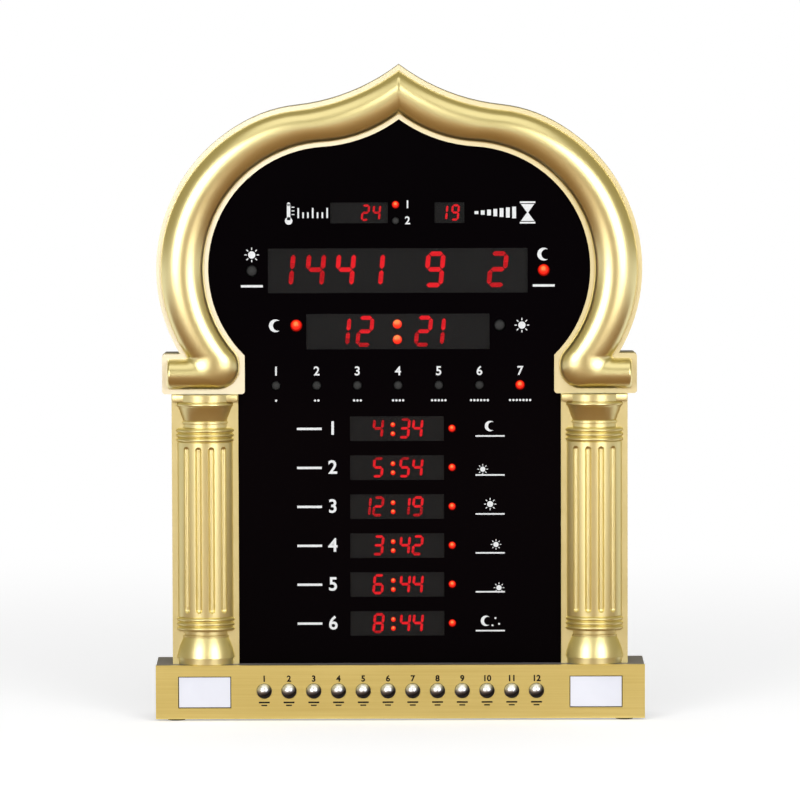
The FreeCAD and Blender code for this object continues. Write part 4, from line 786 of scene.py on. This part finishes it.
def plate_part(points, y):
    """A flat outline given by its corners, as a thin upright plate."""
    count = len(points)
    vertices = [(x, y - INK / 2, z) for x, z in points] + [(x, y + INK / 2, z) for x, z in points]
    faces = [tuple(range(count)), tuple(range(2 * count - 1, count - 1, -1))]
    faces += [(i, (i + 1) % count, count + (i + 1) % count, count + i) for i in range(count)]
    return vertices, faces


def bar_part(x, z, wide, tall, y):
    """An upright rectangle of ink."""
    return plate_part([(x - wide / 2, z - tall / 2), (x + wide / 2, z - tall / 2),
                       (x + wide / 2, z + tall / 2), (x - wide / 2, z + tall / 2)], y)


def disc_part(x, z, radius, y, steps=28):
    """A round spot of ink."""
    turns = [2 * math.pi * step / steps for step in range(steps)]
    return plate_part([(x + radius * math.cos(turn), z + radius * math.sin(turn)) for turn in turns], y)


def crescent_part(x, z, radius, y, steps=24):
    """A crescent moon: an arc of the disc, and back along the arc of the bite."""
    bite_shift, bite_radius = 0.42 * radius, 0.79 * radius
    outer = [math.radians(50 + 260 * step / steps) for step in range(steps + 1)]
    inner = [math.radians(285 - 210 * step / steps) for step in range(steps + 1)]
    points = [(x + radius * math.cos(turn), z + radius * math.sin(turn)) for turn in outer]
    points += [(x + bite_shift + bite_radius * math.cos(turn), z + bite_radius * math.sin(turn))
               for turn in inner]
    return plate_part(points, y)


def sun_parts(x, z, radius, y, rays=8):
    """A sun: a disc with short rays."""
    parts = [disc_part(x, z, 0.5 * radius, y)]
    start, half = 0.68 * radius, 0.07 * radius
    for ray in range(rays):
        turn = 2 * math.pi * ray / rays
        along = Vector((math.cos(turn), math.sin(turn)))
        aside = Vector((-along.y, along.x)) * half
        middle = Vector((x, z))
        near, far = middle + along * start, middle + along * radius
        parts.append(plate_part([near + aside, near - aside, far - aside, far + aside], y))
    return parts


def panel_signs():
    """White numbers and figures on the panel."""
    y = PANEL_Y - INK / 2
    parts = day_signs(y) + row_signs(y) + clock_signs(y) + top_signs(y)
    new_piece("panel_signs", *merged(parts), "white_ink", None)


def day_signs(y):
    """A number above each weekday lamp and as many dots below it."""
    size, rise, drop, pitch, radius = 8.6 * MM, 9.7 * MM, 10.3 * MM, 2.3 * MM, 0.8 * MM
    parts = []
    for number in range(DAYS):
        x = day_x(number)
        parts.append(text_part(str(number + 1), size, x, DAY_Z + rise, y))
        for dot in range(number + 1):
            parts.append(disc_part(x + (dot - number / 2) * pitch, DAY_Z - drop, radius, y, 16))
    return parts


def row_signs(y):
    """A bar and a number to the left of each row, and a figure to its right."""
    size, number_x, bar_x, figure_x = 13.0 * MM, -46.0 * MM, -62.0 * MM, 62.0 * MM
    parts = []
    for number in range(ROWS):
        z = row_z(number)
        parts.append(text_part(str(number + 1), size, number_x, z, y))
        parts.append(bar_part(bar_x, z, 17.0 * MM, SIGN_BAR, y))
        parts += day_figure(number, figure_x, z, y)
    return parts


def clock_signs(y):
    """Suns and crescents by the lamps of the date and the time."""
    rise, drop, wide = 11.0 * MM, 10.5 * MM, 15.0 * MM
    moon_x, sun_x = SHIFT - 84.0 * MM, SHIFT + 85.0 * MM
    parts = []
    for x, figure in ((SHIFT - SIDE_X, "sun"), (SHIFT + SIDE_X, "moon")):
        parts += sign_part(figure, x, DATE_Z + rise, y)
        parts.append(bar_part(x, DATE_Z - drop, wide, SIGN_BAR, y))
    parts += sign_part("moon", moon_x, CLOCK_LAMP_Z, y)
    parts += sign_part("sun", sun_x, CLOCK_LAMP_Z, y)
    return parts


def top_signs(y):
    """A thermometer with ticks, an hourglass with growing bars, and two numbers."""
    ticks = 7
    tick_x, tick_pitch, tick_wide, tick_foot = -69.0 * MM, 3.3 * MM, 1.1 * MM, SMALL_Z - 3.5 * MM
    bar_x, bar_pitch, bar_wide, bar_tall = 53.0 * MM, 4.3 * MM, 2.6 * MM, 2.0 * MM
    size, number_x = 7.5 * MM, SHIFT + 6.8 * MM
    parts = thermometer(-75.6 * MM, SMALL_Z, y) + hourglass(88.0 * MM, SMALL_Z, y)
    for tick in range(ticks):
        tall = (7.0 if tick % 3 == 0 else 4.0) * MM
        parts.append(bar_part(tick_x + tick_pitch * tick, tick_foot + tall / 2, tick_wide, tall, y))
        parts.append(bar_part(bar_x + bar_pitch * tick, SMALL_Z, bar_wide, bar_tall + tick * MM, y))
    for sign, rise in (("1", PAIR_RISE), ("2", -PAIR_RISE)):
        parts.append(text_part(sign, size, number_x, SMALL_Z + rise, y))
    return parts


def sign_part(figure, x, z, y):
    """A sun or a crescent."""
    return sun_parts(x, z, 5.0 * MM, y) if figure == "sun" else [crescent_part(x, z, 4.4 * MM, y)]


def day_figure(number, x, z, y):
    """A small sun or moon for one of six times of a day, over a line for the ground."""
    small, noon, star, moon_rise = 3.6 * MM, 4.2 * MM, 0.7 * MM, 1.6 * MM
    sun_shifts = {1: -5.0, 2: 0.0, 3: 4.0, 4: 6.0}
    sun_rises = {1: -1.2, 2: 1.6, 3: 0.6, 4: -2.4}
    stars = ((3.5, 3.5), (6.0, -0.5), (1.5, -1.5))
    ground = bar_part(x, z - 5.2 * MM, 20.0 * MM, 1.0 * MM, y)
    if number == 0:
        return [ground, crescent_part(x, z + moon_rise, small, y)]
    if number == ROWS - 1:
        night = [disc_part(x + dx * MM, z + dz * MM, star, y, 14) for dx, dz in stars]
        return [ground, crescent_part(x - 3.0 * MM, z + moon_rise, small, y)] + night
    sun_x, sun_z = x + sun_shifts[number] * MM, z + sun_rises[number] * MM
    return [ground] + sun_parts(sun_x, sun_z, noon if number == 2 else small, y)


def thermometer(x, z, y):
    """A tube with a bulb."""
    parts = [disc_part(x, z - 5.4 * MM, 2.6 * MM, y), bar_part(x, z + 0.6 * MM, 2.4 * MM, 11.0 * MM, y)]
    parts.append(disc_part(x, z + 6.1 * MM, 1.2 * MM, y, 16))
    parts += [bar_part(x + 3.0 * MM, z + rise * MM, 2.0 * MM, 0.6 * MM, y) for rise in (-1.0, 1.5, 4.0)]
    return parts


def hourglass(x, z, y):
    """Two bars and two triangles that meet at their tips."""
    w, t = 4.6 * MM, 7.0 * MM
    parts = [bar_part(x, z + side * t, 2.3 * w, 1.2 * MM, y) for side in (-1, 1)]
    parts += [plate_part([(x - w, z + side * (t - 1.2 * MM)), (x + w, z + side * (t - 1.2 * MM)),
                          (x + 0.4 * MM, z), (x - 0.4 * MM, z)], y) for side in (-1, 1)]
    return parts


def base_signs():
    """Black numbers above the buttons and small marks below them."""
    y = FACE_Y - INK / 2
    size, rise = 5.8 * MM, 8.4 * MM
    bars = ((7.8 * MM, 7.5 * MM, 1.1 * MM), (9.8 * MM, 4.0 * MM, 0.9 * MM))
    parts = []
    for number in range(1, BUTTONS + 1):
        low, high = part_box(f"button_{number:02d}")
        x, z = (low[0] + high[0]) / 2, (low[2] + high[2]) / 2
        parts.append(text_part(str(number), size, x, z + rise, y, BOLD))
        parts += [bar_part(x, z - drop, wide, tall, y) for drop, wide, tall in bars]
    new_piece("base_signs", *merged(parts), "black_ink", None)


def plate_seams():
    """Painted shade: a thin dark line in the gap round each pale plate."""
    gap, line = 0.3 * MM, 0.5 * MM
    parts = []
    for name in ("left_plate", "right_plate"):
        low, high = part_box(name)
        x, z = (low[0] + high[0]) / 2, (low[2] + high[2]) / 2
        wide, tall, y = high[0] - low[0] + 2 * gap, high[2] - low[2] + 2 * gap, low[1] + 0.2 * MM
        parts += [bar_part(x, z + side * tall / 2, wide + line, line, y) for side in (-1, 1)]
        parts += [bar_part(x + side * wide / 2, z, line, tall - line, y) for side in (-1, 1)]
    new_piece("plate_seams", *merged(parts), "black_ink", None)


# Floor, light and camera

FLOOR_GLOW = 0.42
WARM = (1.0, 0.87, 0.47)


def floor():
    """A pale floor that keeps the object's shadow and turns white further out."""
    material, tree, shader = new_material("floor_paint", Roughness=0.9, Specular_IOR_Level=0.0)
    place = tree.nodes.new("ShaderNodeTexCoord")
    length = tree.nodes.new("ShaderNodeVectorMath")
    length.operation = "LENGTH"
    tree.links.new(place.outputs["Object"], length.inputs[0])
    away = tree.nodes.new("ShaderNodeMapRange")
    away.interpolation_type = "SMOOTHSTEP"
    away.inputs["From Min"].default_value = 0.35
    away.inputs["From Max"].default_value = 1.1
    tree.links.new(length.outputs["Value"], away.inputs["Value"])
    paint = ramp_between(tree, away.outputs["Result"], (0.80, 0.80, 0.80), (0.0, 0.0, 0.0), 0.0, 1.0)
    tree.links.new(paint, shader.inputs["Base Color"])
    shader.inputs["Emission Color"].default_value = (1.0, 1.0, 1.0, 1.0)
    glow = tree.nodes.new("ShaderNodeMapRange")
    glow.inputs["To Min"].default_value = FLOOR_GLOW
    glow.inputs["To Max"].default_value = 1.0
    tree.links.new(away.outputs["Result"], glow.inputs["Value"])
    tree.links.new(glow.outputs["Result"], shader.inputs["Emission Strength"])
    stage_sheet("floor", (-30.0, -30.0), (30.0, 30.0), 0.0, material)


def stage_sheet(name, low, high, height, material):
    """A level rectangle of the stage between two corners."""
    corners = ((low[0], low[1]), (high[0], low[1]), (high[0], high[1]), (low[0], high[1]))
    mesh = bpy.data.meshes.new(name)
    mesh.from_pydata([(x, y, height) for x, y in corners], [], [(0, 1, 2, 3)])
    mesh.materials.append(material)
    item = bpy.data.objects.new(name, mesh)
    bpy.context.scene.collection.objects.link(item)
    return item


def dark_card():
    """A brown card on the floor in front, which only the reflections show."""
    material, _, shader = new_material("card_brown", Roughness=0.9)
    shader.inputs["Base Color"].default_value = (0.34, 0.17, 0.05, 1.0)
    item = stage_sheet("card", (-1.2, -9.0), (1.2, -0.028), 0.4 * MM, material)
    item.visible_camera = False
    item.visible_diffuse = False
    item.visible_shadow = False
    item.visible_transmission = False


def world():
    """White to the camera, and in reflections white behind the object and dim in front."""
    sky = bpy.data.worlds.new("studio")
    bpy.context.scene.world = sky
    sky.use_nodes = True
    tree = sky.node_tree
    background = tree.nodes["Background"]
    place = tree.nodes.new("ShaderNodeTexCoord")
    split = tree.nodes.new("ShaderNodeSeparateXYZ")
    tree.links.new(place.outputs["Generated"], split.inputs[0])
    depth = tree.nodes.new("ShaderNodeMapRange")
    depth.inputs["From Min"].default_value = -0.95
    depth.inputs["From Max"].default_value = 0.15
    depth.inputs["To Min"].default_value = 0.35
    depth.inputs["To Max"].default_value = 0.42
    tree.links.new(split.outputs["Y"], depth.inputs["Value"])
    rays = tree.nodes.new("ShaderNodeLightPath")
    seen = tree.nodes.new("ShaderNodeMath")
    seen.operation = "MAXIMUM"
    tree.links.new(rays.outputs["Is Camera Ray"], seen.inputs[0])
    tree.links.new(rays.outputs["Is Transmission Ray"], seen.inputs[1])
    level = tree.nodes.new("ShaderNodeMix")
    level.data_type = "FLOAT"
    tree.links.new(rays.outputs["Is Glossy Ray"], level.inputs[0])
    level.inputs[2].default_value = 0.45
    tree.links.new(depth.outputs["Result"], level.inputs[3])
    final = tree.nodes.new("ShaderNodeMix")
    final.data_type = "FLOAT"
    tree.links.new(seen.outputs[0], final.inputs[0])
    tree.links.new(level.outputs[0], final.inputs[2])
    final.inputs[3].default_value = 1.0
    tree.links.new(final.outputs[0], background.inputs["Strength"])
    tint = tree.nodes.new("ShaderNodeMix")
    tint.data_type = "RGBA"
    tree.links.new(rays.outputs["Is Glossy Ray"], tint.inputs[0])
    tint.inputs[6].default_value = (1.0, 1.0, 1.0, 1.0)
    tint.inputs[7].default_value = (*WARM, 1.0)
    tree.links.new(tint.outputs[2], background.inputs["Color"])


def softbox(name, place, target, wide, tall, power):
    """A large soft lamp that faces a target."""
    lamp = bpy.data.lights.new(name, "AREA")
    lamp.shape = "RECTANGLE"
    lamp.size = wide
    lamp.size_y = tall
    lamp.energy = power
    item = bpy.data.objects.new(name, lamp)
    item.location = place
    item.rotation_euler = (Vector(target) - Vector(place)).to_track_quat("-Z", "Y").to_euler()
    bpy.context.scene.collection.objects.link(item)


def lights():
    """Two tall softboxes close beside the camera and a broad one overhead."""
    middle = (0.0, 0.0, 0.24)
    for name, side in (("softbox_left", -1), ("softbox_right", 1)):
        softbox(name, (side * 1.20, -2.32, 0.72), middle, 1.15, 1.35, 25.0)
    softbox("softbox_top", (0.0, -1.1, 2.1), middle, 2.4, 1.4, 9.5)


def camera():
    """The camera at the photograph's angle, far in front and a little above."""
    distance, height, look_height, roll = 5.307, 0.694, 0.22125, -0.0028
    picture, focal, sensor = 800.0, 7784.0, 36.0
    across = 0.0003
    data = bpy.data.cameras.new("camera")
    data.sensor_width = sensor
    data.lens = sensor * focal / picture
    data.clip_end = 60.0
    item = bpy.data.objects.new("camera", data)
    place = Vector((across, FACE_Y - distance, height))
    look = Vector((across, FACE_Y, look_height)) - place
    item.location = place
    aim = look.to_track_quat("-Z", "Y").to_matrix() @ Matrix.Rotation(roll, 3, "Z")
    item.rotation_euler = aim.to_euler()
    bpy.context.scene.collection.objects.link(item)
    bpy.context.scene.camera = item


camera()
lights()
world()
floor()
dark_card()
dress_nodes()
arch_moulding()
half_column("left_column", -1)
half_column("right_column", 1)
buttons()
lamps()
colon_domes()
panel_signs()
base_signs()
plate_seams()

bpy.context.scene.view_settings.view_transform = "Standard"
bpy.context.view_layer.update()
